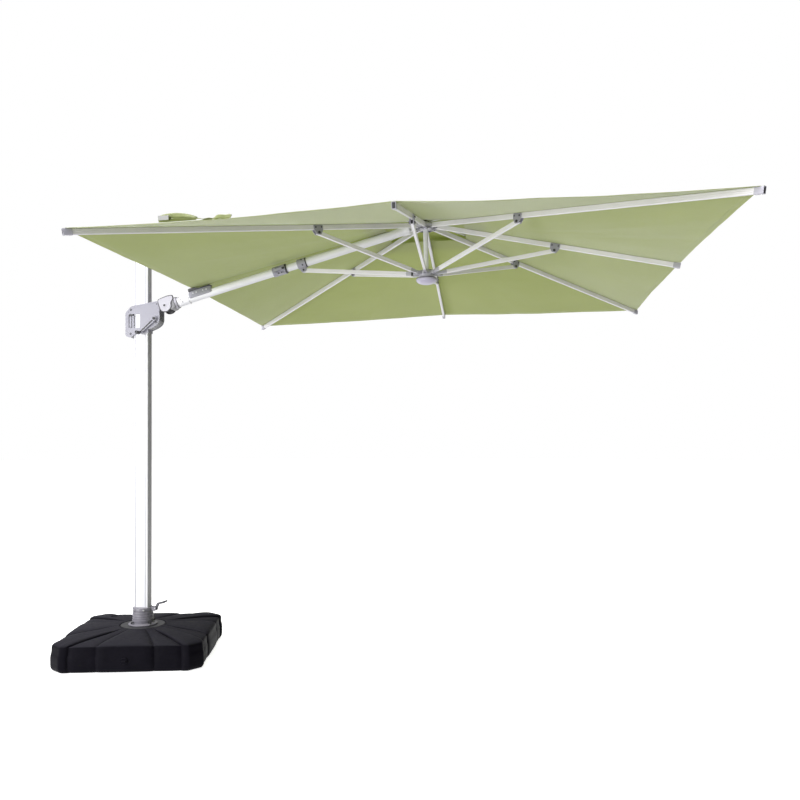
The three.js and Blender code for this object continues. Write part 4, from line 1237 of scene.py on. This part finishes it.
def make_knuckle():
    cheek = [(-0.034, 0.020), (-0.031, 0.046), (0.030, 0.050), (0.064, 0.046), (0.064, 0.026)]
    cheek += [(0.042, 0.006), (0.038, -0.022), (0.016, -0.038), (-0.008, -0.039), (-0.029, -0.026)]
    cheeks = [
        prism("cheek", rounded_outline(cheek, 0.010), *span(side, KNUCKLE_INNER, KNUCKLE_OUTER), CHEEK)
        for side in (-1, 1)
    ]
    bosses = [
        tube("boss", 0.0125, 0.0078, 0.0440, 0.0462, CHEEK, 40) for side in (-1, 1)
    ]
    for side, boss in zip((-1, 1), bosses):
        boss.data.transform(Matrix.Rotation(side * math.pi / 2, 4, "Z"))
    collar = [(0.026, 0.060), (0.034, 0.061), (0.034, 0.068), (0.0325, 0.069), (0.0325, 0.072)]
    collar += [(0.034, 0.073), (0.034, 0.080), (0.0325, 0.082), (0.026, 0.082)]
    socket = lathe("socket", collar, GREY, 56, ALONG_X)
    knuckle = joined("knuckle", cheeks + bosses + [socket])
    settle(knuckle, "arm_lower", ARM, 0.0010)
    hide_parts("arm_knuckle")
    web = [(0.026, 0.044), (0.062, 0.042), (0.063, -0.026), (0.048, -0.034), (0.026, -0.033)]
    # The web is painted dark grey: painted shade behind the cheeks
    core = prism("knuckle_core", rounded_outline(web, 0.006), -KNUCKLE_INNER, KNUCKLE_INNER, PAINTED_SHADE_GREY)
    settle(core, "arm_lower", ARM, 0.0015)
    sleeve = [(0.0253, 0.081), (0.0283, 0.081), (0.0283, 0.154)]
    sleeve += [(0.0292, 0.155), (0.0292, 0.158), (0.0253, 0.158)]
    settle(lathe("arm_sleeve", sleeve, WHITE, 56, ALONG_X), "arm_lower", ARM, 0.0004)
    # Dark discs in the cheeks' bores are painted shade for the pivot holes; a dark outline round each cheek
    # is painted shade for the gap beside it
    for side, label in ((-1, "near"), (1, "far")):
        pin = rod(f"knuckle_bore_shade_{label}", (0, side * 0.0430, 0), (0, side * 0.0451, 0), 0.0076, DARK, 32)
        settle(pin, "arm_lower", ARM)
        edge = rounded_outline(inset_outline(cheek, -0.0065), 0.012)
        gap_shade = prism(f"knuckle_gap_shade_{label}", edge, *span(side, 0.0390, 0.0396), DARK)
        settle(gap_shade, "arm_lower", ARM)
    band = tube("socket_band", 0.0350, 0.0339, 0.0755, 0.0795, DARK)
    settle(band, "arm_lower", ARM)
    for number, (x, turn) in enumerate(((0.092, 60), (0.104, 20), (0.116, -20))):
        arm_screw(f"sleeve_rivet_{number}", x, turn, 0.0285, 0.0036, "arm_lower")


def make_tubes():
    for name, outer, inner, start, end, body in (
        ("lower_arm_tube", LOWER_TUBE, 0.023, 0.0645, TWIST_JOINT, "arm_lower"),
        ("inner_arm_tube", INNER_TUBE, 0.0205, 0.640, 1.010, "arm_upper"),
        ("upper_arm_tube", UPPER_TUBE, 0.0228, STRUT_COLLAR + 0.016, 1.598, "arm_upper"),
    ):
        made = tube(f"{name}_drawn", outer, inner, start, end, WHITE, 64)
        settle(made, body, ARM)
        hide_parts(name)


def make_saddle():
    """Cast saddle on the lower tube with a black rubber pad, under the canopy's left point."""
    section = [(-0.0305, 0.001), (-0.031, 0.005), (-0.0285, 0.016), (-0.023, 0.028), (-0.0195, 0.038)]
    section += [(-0.016, 0.0425), (-0.010, 0.044)]
    section += [(-y, z) for y, z in reversed(section)]
    rings = []
    for x, scale in ((0.164, 0.80), (0.166, 0.88), (0.171, 0.95), (0.180, 1.0), (0.302, 1.0), (0.311, 0.95),
                     (0.316, 0.88), (0.318, 0.80)):
        rings.append(([(y * scale, z * scale if z > 0.02 else z) for y, z in section], x))
    body = prism_along_x("saddle_body", rings, SADDLE_GREY)
    lips = [
        block("lip", (0.170, y - 0.0035, -0.004), (0.312, y + 0.0035, 0.004), SADDLE_GREY)
        for y in (-0.0285, 0.0285)
    ]
    saddle = joined("saddle", [body] + lips)
    settle(saddle, "arm_upper", ARM, 0.0012)
    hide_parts("tip_saddle")
    outline = [(0.166, 0.0415), (0.317, 0.0415), (0.314, 0.0485)]
    outline += [(0.240, 0.0490), (0.206, 0.0600), (0.168, 0.0600)]
    pad = prism("saddle_pad", rounded_outline(outline, 0.004), -0.0215, 0.0215, DARK)
    settle(pad, "arm_upper", ARM, 0.0012)
    # Rivet heads painted white: painted highlights on the saddle's side
    for number, x in enumerate((0.196, 0.218, 0.262, 0.286)):
        point, toward = (x, -0.0255, 0.024), (0, -0.93, 0.36)
        screw_on(f"saddle_highlight_rivet_{number}", ARM, point, toward, 0.0042, "arm_upper", WHITE)


def make_twist_collar():
    profile = [(LOWER_TUBE - 0.001, TWIST_START), (0.0295, TWIST_START), (0.031, TWIST_START + 0.002)]
    x = TWIST_START + 0.007
    while x < TWIST_END - 0.020:
        profile += [(0.031, x), (0.0298, x + 0.001), (0.0298, x + 0.003), (0.031, x + 0.004)]
        x += 0.011
    profile += [(0.031, TWIST_END - 0.012), (0.0295, TWIST_END - 0.011)]
    profile += [(LOWER_TUBE - 0.001, TWIST_END - 0.011)]
    sleeve = lathe("sleeve", profile, GREY, 56, ALONG_X)
    left, right = TWIST_LEVER - 0.009, TWIST_LEVER + 0.009
    ear = [(left, 0.009), (right, 0.009), (right, 0.0148), (left, 0.0148)]
    ears = [
        prism("ear", rounded_outline(ear, 0.001), -0.0415, -0.024, GREY),
        prism("ear", [(x, -z) for x, z in ear], -0.0415, -0.024, GREY),
    ]
    corner = (TWIST_START + 0.030, -0.030, -0.0280)
    clamp = block("clamp", corner, (TWIST_START + 0.068, -0.006, -0.016), GREY)
    collar = joined("collar", [sleeve] + ears + [clamp])
    settle(collar, "arm_lower", ARM, 0.0006)
    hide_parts("twist_collar")
    end = [(0.0228, TWIST_END - 0.011), (0.0305, TWIST_END - 0.011), (0.031, TWIST_END - 0.009)]
    end += [(0.031, TWIST_END - 0.003), (0.029, TWIST_END), (0.0228, TWIST_END)]
    settle(lathe("collar_seal", end, DARK, 56, ALONG_X), "arm_lower", ARM)
    for number, x in enumerate((TWIST_START + 0.039, TWIST_START + 0.059)):
        place = ARM @ Vector((x, -0.0302, -0.022))
        screw_head(f"clamp_screw_{number}", place, (0, -1, 0), 0.0042, "arm_lower", DARK)


def make_twist_lever():
    outline = [(-0.002, -0.0365), (0.004, -0.0405), (0.040, -0.0412), (0.066, -0.0405), (0.0698, -0.0372),
               (0.066, -0.0340), (0.020, -0.0335), (0.004, -0.0335)]
    section = rounded_outline(outline, 0.003)
    points = [(x + TWIST_LEVER, y) for x, y in section]
    lever = prism("lever", [(x, -y) for x, y in points], -0.0078, 0.0078, GREY)
    lever.data.transform(Matrix.Rotation(math.pi / 2, 4, "X"))
    eye = rod("eye", (TWIST_LEVER, -0.037, -0.0078), (TWIST_LEVER, -0.037, 0.0078), 0.0042, GREY, 24)
    flip = joined("flip_lever", [lever, eye])
    settle(flip, "twist_lever", ARM, 0.0008)
    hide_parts("twist_lock_lever")
    corner = (TWIST_LEVER + 0.048, -0.0419, -0.0066)
    grip = block("grip", corner, (TWIST_LEVER + 0.066, -0.0395, 0.0066), DARK)
    hinge = rod("hinge", (TWIST_LEVER, -0.037, -0.0150), (TWIST_LEVER, -0.037, 0.0150), 0.0024, DARK, 20)
    settle(joined("flip_lever_grip", [grip, hinge]), "twist_lever", ARM, 0.0006)


def make_strut_collar():
    start, end = STRUT_COLLAR - 0.030, STRUT_COLLAR + 0.030
    profile = [(0.0228, start), (0.0290, start), (0.031, start + 0.003), (0.031, start + 0.012)]
    profile += [(0.0300, start + 0.013), (0.0300, start + 0.016), (0.031, start + 0.017)]
    profile += [(0.031, end - 0.008), (0.0295, end - 0.006), (0.0262, end - 0.006)]
    sleeve = lathe("sleeve", profile, GREY, 56, ALONG_X)
    outline = [(-0.019, -0.022), (0.019, -0.022), (0.019, -0.046), (0.011, -0.057), (-0.011, -0.057)]
    outline = [(STRUT_COLLAR + x, z) for x, z in outline + [(-0.019, -0.046)]]
    cheeks = [
        prism("cheek", rounded_outline(outline, 0.006), *span(side, 0.0090, 0.0140), GREY)
        for side in (-1, 1)
    ]
    collar = joined("bracket_collar", [sleeve] + cheeks)
    settle(collar, "arm_upper", ARM, 0.0007)
    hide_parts("strut_collar")
    seal = [(0.0262, end - 0.006), (0.0308, end - 0.006), (0.0308, end - 0.001), (0.0300, end), (0.0262, end)]
    settle(lathe("bracket_seal", seal, DARK, 56, ALONG_X), "arm_upper", ARM)
    for number, turn in enumerate((38, -30)):
        arm_screw(f"bracket_bolt_{number}", STRUT_COLLAR + 0.004, turn, 0.031, 0.0050, "arm_upper")
    for side in (-1, 1):
        place = ARM @ Vector((STRUT_COLLAR, side * 0.0142, -0.044))
        name = f"bracket_pin_{'near' if side < 0 else 'far'}"
        screw_head(name, place, (0, side, 0), 0.0062, "arm_upper", DARK)


def make_arm_head():
    profile = [(0.0262, 1.586), (0.0290, 1.586), (0.030, 1.588), (0.030, 1.600), (0.0290, 1.6015)]
    profile += [(0.0290, 1.604), (0.030, 1.6055), (0.030, 1.612), (0.026, 1.620), (0.012, 1.622)]
    profile += [(0.012, 1.599), (0.0262, 1.599)]
    socket = lathe("socket", profile, WHITE, 56, ALONG_X)
    outline = [(1.600, -0.0148), (ARM_LENGTH - 0.006, -0.0148), *arc(ARM_LENGTH, 0, 0.0148, -75, 75, 10)]
    outline += [(ARM_LENGTH - 0.006, 0.0148), (1.600, 0.0148)]
    blade = prism("blade", outline, -0.0078, 0.0078, WHITE)
    head = joined("head", [socket, blade])
    settle(head, "arm_upper", ARM, 0.0008)
    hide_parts("arm_head")


make_knuckle()
make_tubes()
make_saddle()
make_twist_collar()
make_twist_lever()
make_strut_collar()
make_arm_head()
dress("hub_hinge_pin", STEEL)


# ---- Hub and runner ------------------------------------------------------------------------------

HUB_RADIUS = 0.075
HUB_HALF = 0.016
POST_RADIUS = 0.015
RUNNER_RADIUS = 0.072
RUNNER_Z = -0.285
VENT_ROD_SLOPE = math.radians(5.4)
VENT_ROD_END = 0.420


def make_top_hub():
    profile = [(0, -HUB_HALF), (0.066, -HUB_HALF), (0.072, -0.0125), (HUB_RADIUS, -0.007)]
    profile += [(HUB_RADIUS, 0.007), (0.072, 0.0125), (0.066, HUB_HALF), (0.040, HUB_HALF)]
    profile += [(0.038, 0.0145), (0, 0.0145)]
    disc = lathe("disc", profile, CAST, 80)
    slots = []
    for index in range(8):
        slot = block("slot", (0.038, -0.0086, -0.03), (0.110, 0.0086, 0.03), CAST)
        slot.data.transform(Matrix.Rotation(azimuth(index), 4, "Z"))
        slots.append(slot)
    hub = carve(disc, joined("slots", slots))
    hub.name = "hub_casting"
    settle(hub, "hub", CANOPY, 0.0012)
    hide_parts("top_hub")
    for index in range(8):
        turn = azimuth(index) + math.radians(22.5)
        flat = Vector((math.cos(turn), math.sin(turn), 0))
        for side, label in ((-1, "under"), (1, "over")):
            point = flat * 0.058 + Vector((0, 0, side * (HUB_HALF + 0.0002)))
            name = f"hub_bolt_{label}_{index}"
            screw_on(name, CANOPY, point, (0, 0, side), 0.0052, "hub")


def make_post():
    """A fluted post from the hub down to the runner."""
    flutes = 10
    section = []
    for step in range(flutes * 8):
        turn = 2 * math.pi * step / (flutes * 8)
        radius = POST_RADIUS - 0.0011 + 0.0010 * math.cos(flutes * turn)
        section.append((radius * math.cos(turn), radius * math.sin(turn)))
    post = upright("post", [(section, RUNNER_Z - 0.024), (section, -0.0045)], WHITE)
    settle(post, "hub", CANOPY)
    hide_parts("centre_post")
    foot = [(0, RUNNER_Z - 0.028), (0.012, RUNNER_Z - 0.028), (0.0135, RUNNER_Z - 0.026)]
    foot += [(0.0135, RUNNER_Z - 0.0242), (0, RUNNER_Z - 0.0242)]
    settle(lathe("post_plug", foot, DARK, 32), "hub", CANOPY)


def make_runner():
    z = RUNNER_Z
    crown = [(0, z - 0.030), (0.038, z - 0.030), (0.0455, z - 0.021), (0.046, z + 0.008)]
    crown += [(0.043, z + 0.012), (0.038, z + 0.019), (0.026, z + 0.0235), (0.0175, z + 0.024)]
    crown += [(0.0165, z + 0.010), (0, z + 0.009)]
    pieces = [lathe("crown", crown, CAST, 64)]
    for index in range(8):
        outline = rounded_outline([(0.030, z - 0.009), (RUNNER_RADIUS + 0.008, z - 0.009),
                                   (RUNNER_RADIUS + 0.008, z + 0.009), (0.030, z + 0.009)], 0.005)
        for side in (-1, 1):
            fork = prism("fork", outline, *span(side, 0.009, 0.012), CAST)
            fork.data.transform(Matrix.Rotation(azimuth(index), 4, "Z"))
            pieces.append(fork)
    runner = joined("runner_crown", pieces)
    settle(runner, "runner", CANOPY, 0.0005)
    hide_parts("lower_hub")
    dome = [(0, z - 0.069)]
    for step in range(1, 13):
        turn = math.radians(90 * step / 12)
        dome.append((0.064 * math.sin(turn), z - 0.041 - 0.028 * math.cos(turn)))
    dome += [(0.0635, z - 0.035), (0.059, z - 0.0315), (0.054, z - 0.031), (0, z - 0.031)]
    bowl = lathe("dome", dome, DOME_GREY, 80)
    settle(bowl, "runner", CANOPY, 0.0005)
    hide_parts("lower_cap")
    groove = [(0.0580, z - 0.0318), (0.0612, z - 0.0318), (0.0612, z - 0.0296), (0.0580, z - 0.0296)]
    settle(lathe("dome_rim", groove, DARK, 80), "runner", CANOPY)


def make_canopy_cap():
    profile = [(0, 0.0313), (0.008, 0.0313), (0.008, 0.0500), (0.0445, 0.0500), (0.045, 0.0515)]
    profile += [(0.0435, 0.056), (0.036, 0.0603), (0.026, 0.0630), (0.022, 0.0625), (0.018, 0.0642)]
    profile += [(0.010, 0.0653), (0, 0.0655)]
    cap = lathe("finial", profile, DARK, 64)
    settle(cap, "hub", CANOPY)
    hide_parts("canopy_cap")


def make_vent_spider():
    """Boss on the hub and four springy rods under the corners of the vent cover, with sleeved tips."""
    boss = [(0, 0.0163), (0.028, 0.0163), (0.030, 0.018), (0.030, 0.027), (0.026, 0.031), (0, 0.031)]
    settle(lathe("vent_boss", boss, GREY, 48), "hub", CANOPY)
    for index in (1, 3, 5, 7):
        name = SPOKES[index]
        frame_of_rod = spoke_frame(index) @ Matrix.Translation((0, 0, 0.027)) @ Matrix.Rotation(
            VENT_ROD_SLOPE, 4, "Y")
        steps = 48
        run = VENT_ROD_END - 0.021
        profile = [(0, 0.021)] + [(0.0036, 0.021 + run * i / steps) for i in range(steps + 1)]
        profile += [(0, VENT_ROD_END)]
        wire = lathe(f"vent_rod_{name}", profile, RIB_PAINT, 20, frame_of_rod @ ALONG_X)
        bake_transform(wire)
        sleeve = [(0, 0.386), (0.0042, 0.386), (0.0052, 0.388), (0.0052, 0.4175), (0.0040, 0.420), (0, 0.420)]
        tip = lathe(f"vent_tip_{name}", sleeve, DARK, 24, frame_of_rod @ ALONG_X)
        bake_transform(tip)
        if index == 1:
            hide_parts("vent_spider")


make_top_hub()
make_post()
make_runner()
make_canopy_cap()
make_vent_spider()


# ---- Ribs and struts -----------------------------------------------------------------------------

RIB_HALF_WIDTH = 0.008
RIB_HALF_HEIGHT = 0.014
BRACKET_THICKNESS = 0.0045
STRUT_HALF_HEIGHT = 0.012
STRUT_TONGUE = 0.055
STRUT_END = -0.0095
PIN_BELOW_RIB = 0.030
PIN_BELOW_ARM = 0.044
STRUT_ALONG_MIDDLE = 0.735
STRUT_ALONG_CORNER = 0.7285


def strut_along(index):
    if SPOKES[index] == "arm":
        return STRUT_ALONG_ARM
    return STRUT_ALONG_CORNER if is_corner(index) else STRUT_ALONG_MIDDLE


def spoke_slope(index):
    if SPOKES[index] != "arm":
        return rib_slope(index)
    return math.asin(ARM.col[0].z) - math.asin(CANOPY.col[0].z)


def upper_pin(index):
    """Radius and height of a strut's upper pin in its spoke's plane."""
    slope, along = spoke_slope(index), strut_along(index)
    below = PIN_BELOW_ARM if SPOKES[index] == "arm" else PIN_BELOW_RIB
    radius = RIB_PIVOT_RADIUS + along * math.cos(slope) - below * math.sin(slope)
    return radius, -along * math.sin(slope) - below * math.cos(slope)


def make_rib(index):
    name = SPOKES[index]
    length, place, body = rib_length(index), rib_frame(index), f"rib_{name}"
    section = grooved_section(
        RIB_HALF_WIDTH, RIB_HALF_HEIGHT, 0.0022, (0.0,), (-0.0045, 0.0045), 0.0050, 0.0012)
    bar = extrusion("bar", section, 0.006, length - 0.004, RIB_PAINT)
    knuckle = rod("knuckle", (0, -0.0078, 0), (0, 0.0078, 0), 0.0138, RIB_PAINT, 40)
    rib = joined(f"rib_bar_{name}", [bar, knuckle])
    settle(rib, body, place)
    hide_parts(f"rib_{name}")
    pin = rod(f"rib_pin_{name}", (0, -0.0145, 0), (0, 0.0145, 0), 0.003, STEEL, 24)
    settle(pin, body, place)
    make_bracket(index, place, body)
    cap_section = grooved_section(0.0100, 0.0160, 0.0035, (), (), 0, 0)
    inner = grooved_section(0.0075, 0.0130, 0.0025, (), (), 0, 0)
    cap = prism_along_x(f"tip_cap_{name}", [(cap_section, length - 0.042), (cap_section, length)], CAST)
    hole = prism_along_x("tool", [(inner, length - 0.004), (inner, length + 0.01)], CAST)
    cap = carve(cap, hole)
    cap.name = f"tip_cap_{name}"
    settle(cap, body, place, 0.0010)
    plug_rings = [([(y * s, z * s) for y, z in inner], length + x) for s, x in
                  ((0.99, -0.0045), (0.99, -0.002), (0.93, -0.0008))]
    settle(prism_along_x(f"tip_plug_{name}", plug_rings, DARK), body, place, 0.0005)
    for number, x in enumerate((length - 0.030, length - 0.012)):
        title, point = f"tip_screw_{name}_{number}", (x, 0, -0.0162)
        screw_on(title, place, point, (0, 0, -1), 0.0030, body, STEEL)


def make_bracket(index, place, body):
    """The clamp that holds a strut's upper end to its rib: two cheeks with bosses, and capped bolts."""
    name, along = SPOKES[index], strut_along(index)
    outline = [(along - 0.029, 0.0120), (along - 0.029, -0.016), (along - 0.013, -PIN_BELOW_RIB - 0.012)]
    outline += [(along + 0.013, -PIN_BELOW_RIB - 0.012), (along + 0.029, -0.016), (along + 0.029, 0.0120)]
    pieces = []
    for side in (-1, 1):
        inner, outer = side * 0.0081, side * (RIB_HALF_WIDTH + BRACKET_THICKNESS)
        pieces.append(prism("cheek", rounded_outline(outline, 0.005), *sorted((inner, outer)), GREY))
        for x in (along - 0.019, along + 0.019):
            low, high = sorted((outer - side * 0.0005, outer + side * 0.0020))
            pieces.append(rod("boss", (x, low, -0.002), (x, high, -0.002), 0.0065, GREY, 24))
    bracket = joined(f"bracket_{name}", pieces)
    settle(bracket, body, place, 0.0009)
    for side, label in ((-1, "a"), (1, "b")):
        outer = side * (RIB_HALF_WIDTH + BRACKET_THICKNESS)
        heads = [
            (f"bracket_screw_{name}_{label}{number}", (x, outer + side * 0.0021, -0.002), 0.0045)
            for number, x in enumerate((along - 0.019, along + 0.019))
        ]
        heads.append((f"bracket_cap_{name}_{label}", (along, outer + side * 0.0002, -PIN_BELOW_RIB), 0.0080))
        for title, point, radius in heads:
            screw_on(title, place, point, (0, side, 0), radius, body)


def make_strut(index):
    name = SPOKES[index]
    radius, height = upper_pin(index)
    dx, dz = RUNNER_RADIUS - radius, RUNNER_Z - height
    length = math.hypot(dx, dz)
    place = spoke_frame(index) @ Matrix.Translation((radius, 0, height)) @ Matrix.Rotation(
        math.atan2(-dz, dx), 4, "Y")
    body = f"strut_{name}"
    section = grooved_section(0.0078, STRUT_HALF_HEIGHT, 0.0022, (0.0,), (0.0,), 0.0060, 0.0010)
    bar = extrusion(f"strut_bar_{name}", section, STRUT_END, length - STRUT_TONGUE + 0.002, RIB_PAINT)
    inner = grooved_section(0.0058, 0.0098, 0.0015, (), (), 0, 0)
    mouth = [(inner, STRUT_END - 0.01), (inner, STRUT_END + 0.003)]
    bar = carve(bar, prism_along_x("tool", mouth, RIB_PAINT))
    bar.name = f"strut_bar_{name}"
    settle(bar, body, place)
    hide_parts(f"strut_{name}")
    plug = extrusion(f"strut_plug_{name}", [(y * 0.98, z * 0.98) for y, z in inner], STRUT_END + 0.0006,
                     STRUT_END + 0.004, DARK)
    settle(plug, body, place)
    tongue = length - STRUT_TONGUE
    outline = [(tongue, -0.0115), (tongue + 0.018, -0.0110), (length - 0.020, -0.0078)]
    outline += arc(length, 0, 0.0078, -80, 80, 8)
    outline += [(length - 0.020, 0.0078), (tongue + 0.018, 0.0110), (tongue, 0.0115)]
    end = prism("end", outline, -0.0076, 0.0076, CAST)
    pin = rod("pin", (length, -0.0086, 0), (length, 0.0086, 0), 0.004, CAST, 24)
    settle(joined(f"strut_end_{name}", [end, pin]), body, place, 0.0008)
    if name == "arm":
        for label, from_end, to_end, paint in (("sleeve", 0.052, 0.022, CHEEK), ("tip", 0.022, 0.009, DARK)):
            band = grooved_section(0.0084, 0.0128, 0.0024, (), (), 0, 0)
            ring = extrusion(f"strut_{label}_{name}", band, length - from_end, length - to_end, paint)
            settle(ring, body, place)


for spoke in range(8):
    if SPOKES[spoke] != "arm":
        make_rib(spoke)
    make_strut(spoke)


# ---- Closing strap -------------------------------------------------------------------------------

STRAP_REACH = 1.430
STRAP_FROM, STRAP_TO = 0.424, 0.826
STRAP_HALF_WIDTH = 0.0125
STRAP_THICKNESS = 0.0016
STRAP_LOOP_SHARE = 0.52
STRAP_LAYER_RISES = (0.001, 0.0055, 0.010, 0.0145)


def panel_place(index, reach, side):
    """A point on a spoke's panel: side runs from -1 to 1 between the middles of its gores."""
    across = HALF_GORE * abs(side)
    if is_corner(index):
        across = 1 - (1 - HALF_GORE) * abs(side)
    return cloth_point(index, 1 if side >= 0 else -1, reach, across, over_spoke, 0, GORE_SAG)


def strap_place(share):
    """A point on the cloth under the strap, at a share of the strap's run along the hem."""
    return panel_place(SPOKES.index("near_left"), STRAP_REACH, STRAP_FROM + (STRAP_TO - STRAP_FROM) * share)


def make_strap():
    """The tie that wraps the closed canopy: looped at one end, then flat along the hem, then on edge."""
    run = strap_place(1) - strap_place(0)
    flat_run = Vector((run.x, run.y, 0)).normalized()
    across = Vector((-flat_run.y, flat_run.x, 0))
    length = run.length
    # Places along the strap: how far along the hem, how high, and how far it is turned on edge
    loop = STRAP_LOOP_SHARE * length
    path = []
    for layer, rise in enumerate(STRAP_LAYER_RISES):
        forward = layer % 2 == len(STRAP_LAYER_RISES) % 2
        base = 0.0040 + 0.0016 * layer
        for step in range(19):
            share = step / 18 if not forward else 1 - step / 18
            high = math.sin(math.pi * (0.95 - 0.70 * share)) ** 0.8
            path.append((loop * (1 - share), base + rise * high, 0.25 + 0.9 * high))
    for step in range(1, 33):
        share = step / 32
        on_edge = smooth_step((share - 0.40) / 0.20) * (1 - 0.3 * smooth_step((share - 0.92) / 0.08))
        height = 0.0065 - 0.0045 * on_edge + 0.0012 * math.sin(share * 21.0)
        turned = 0.45 * (1 - smooth_step(share * 4)) + 1.1 * on_edge
        path.append((loop + (length - loop) * share, height, turned))
    points, uvs = [], []
    walked = 0.0
    for number, (along, height, turned) in enumerate(path):
        if number:
            walked += math.dist(path[number][:2], path[number - 1][:2])
        lifted = STRAP_HALF_WIDTH * math.sin(turned)
        centre = strap_place(along / length) + Vector((0, 0, height + lifted))
        for column in range(5):
            side = STRAP_HALF_WIDTH * (column - 2) / 2
            bow = 0.0004 * (1 - abs(column - 2) / 2)
            lift = bow + side * math.sin(turned)
            points.append(centre + across * side * math.cos(turned) + Vector((0, 0, lift)))
            uvs.append((side, walked))
    strap = mesh_object("tie_strap", points, skin_faces(len(path), 5, wrap=False), WEBBING, uvs=uvs)
    thickness = strap.modifiers.new("thickness", "SOLIDIFY")
    thickness.thickness = STRAP_THICKNESS
    thickness.offset = 0
    settle(strap, "rib_near_left", CANOPY)
    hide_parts("closing_strap")
    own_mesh(strap)
    patch_centre = strap_place(0.06) + Vector((0, 0, 0.024))
    patch_turn = axes_matrix(run.normalized(), across, run.normalized().cross(across), patch_centre)
    patch = block("tie_patch", (-0.020, -0.0150, -0.0125), (0.030, -0.0128, 0.0085), PATCH)
    settle(patch, "rib_near_left", CANOPY @ patch_turn, 0.0008)
    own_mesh(patch)


make_strap()
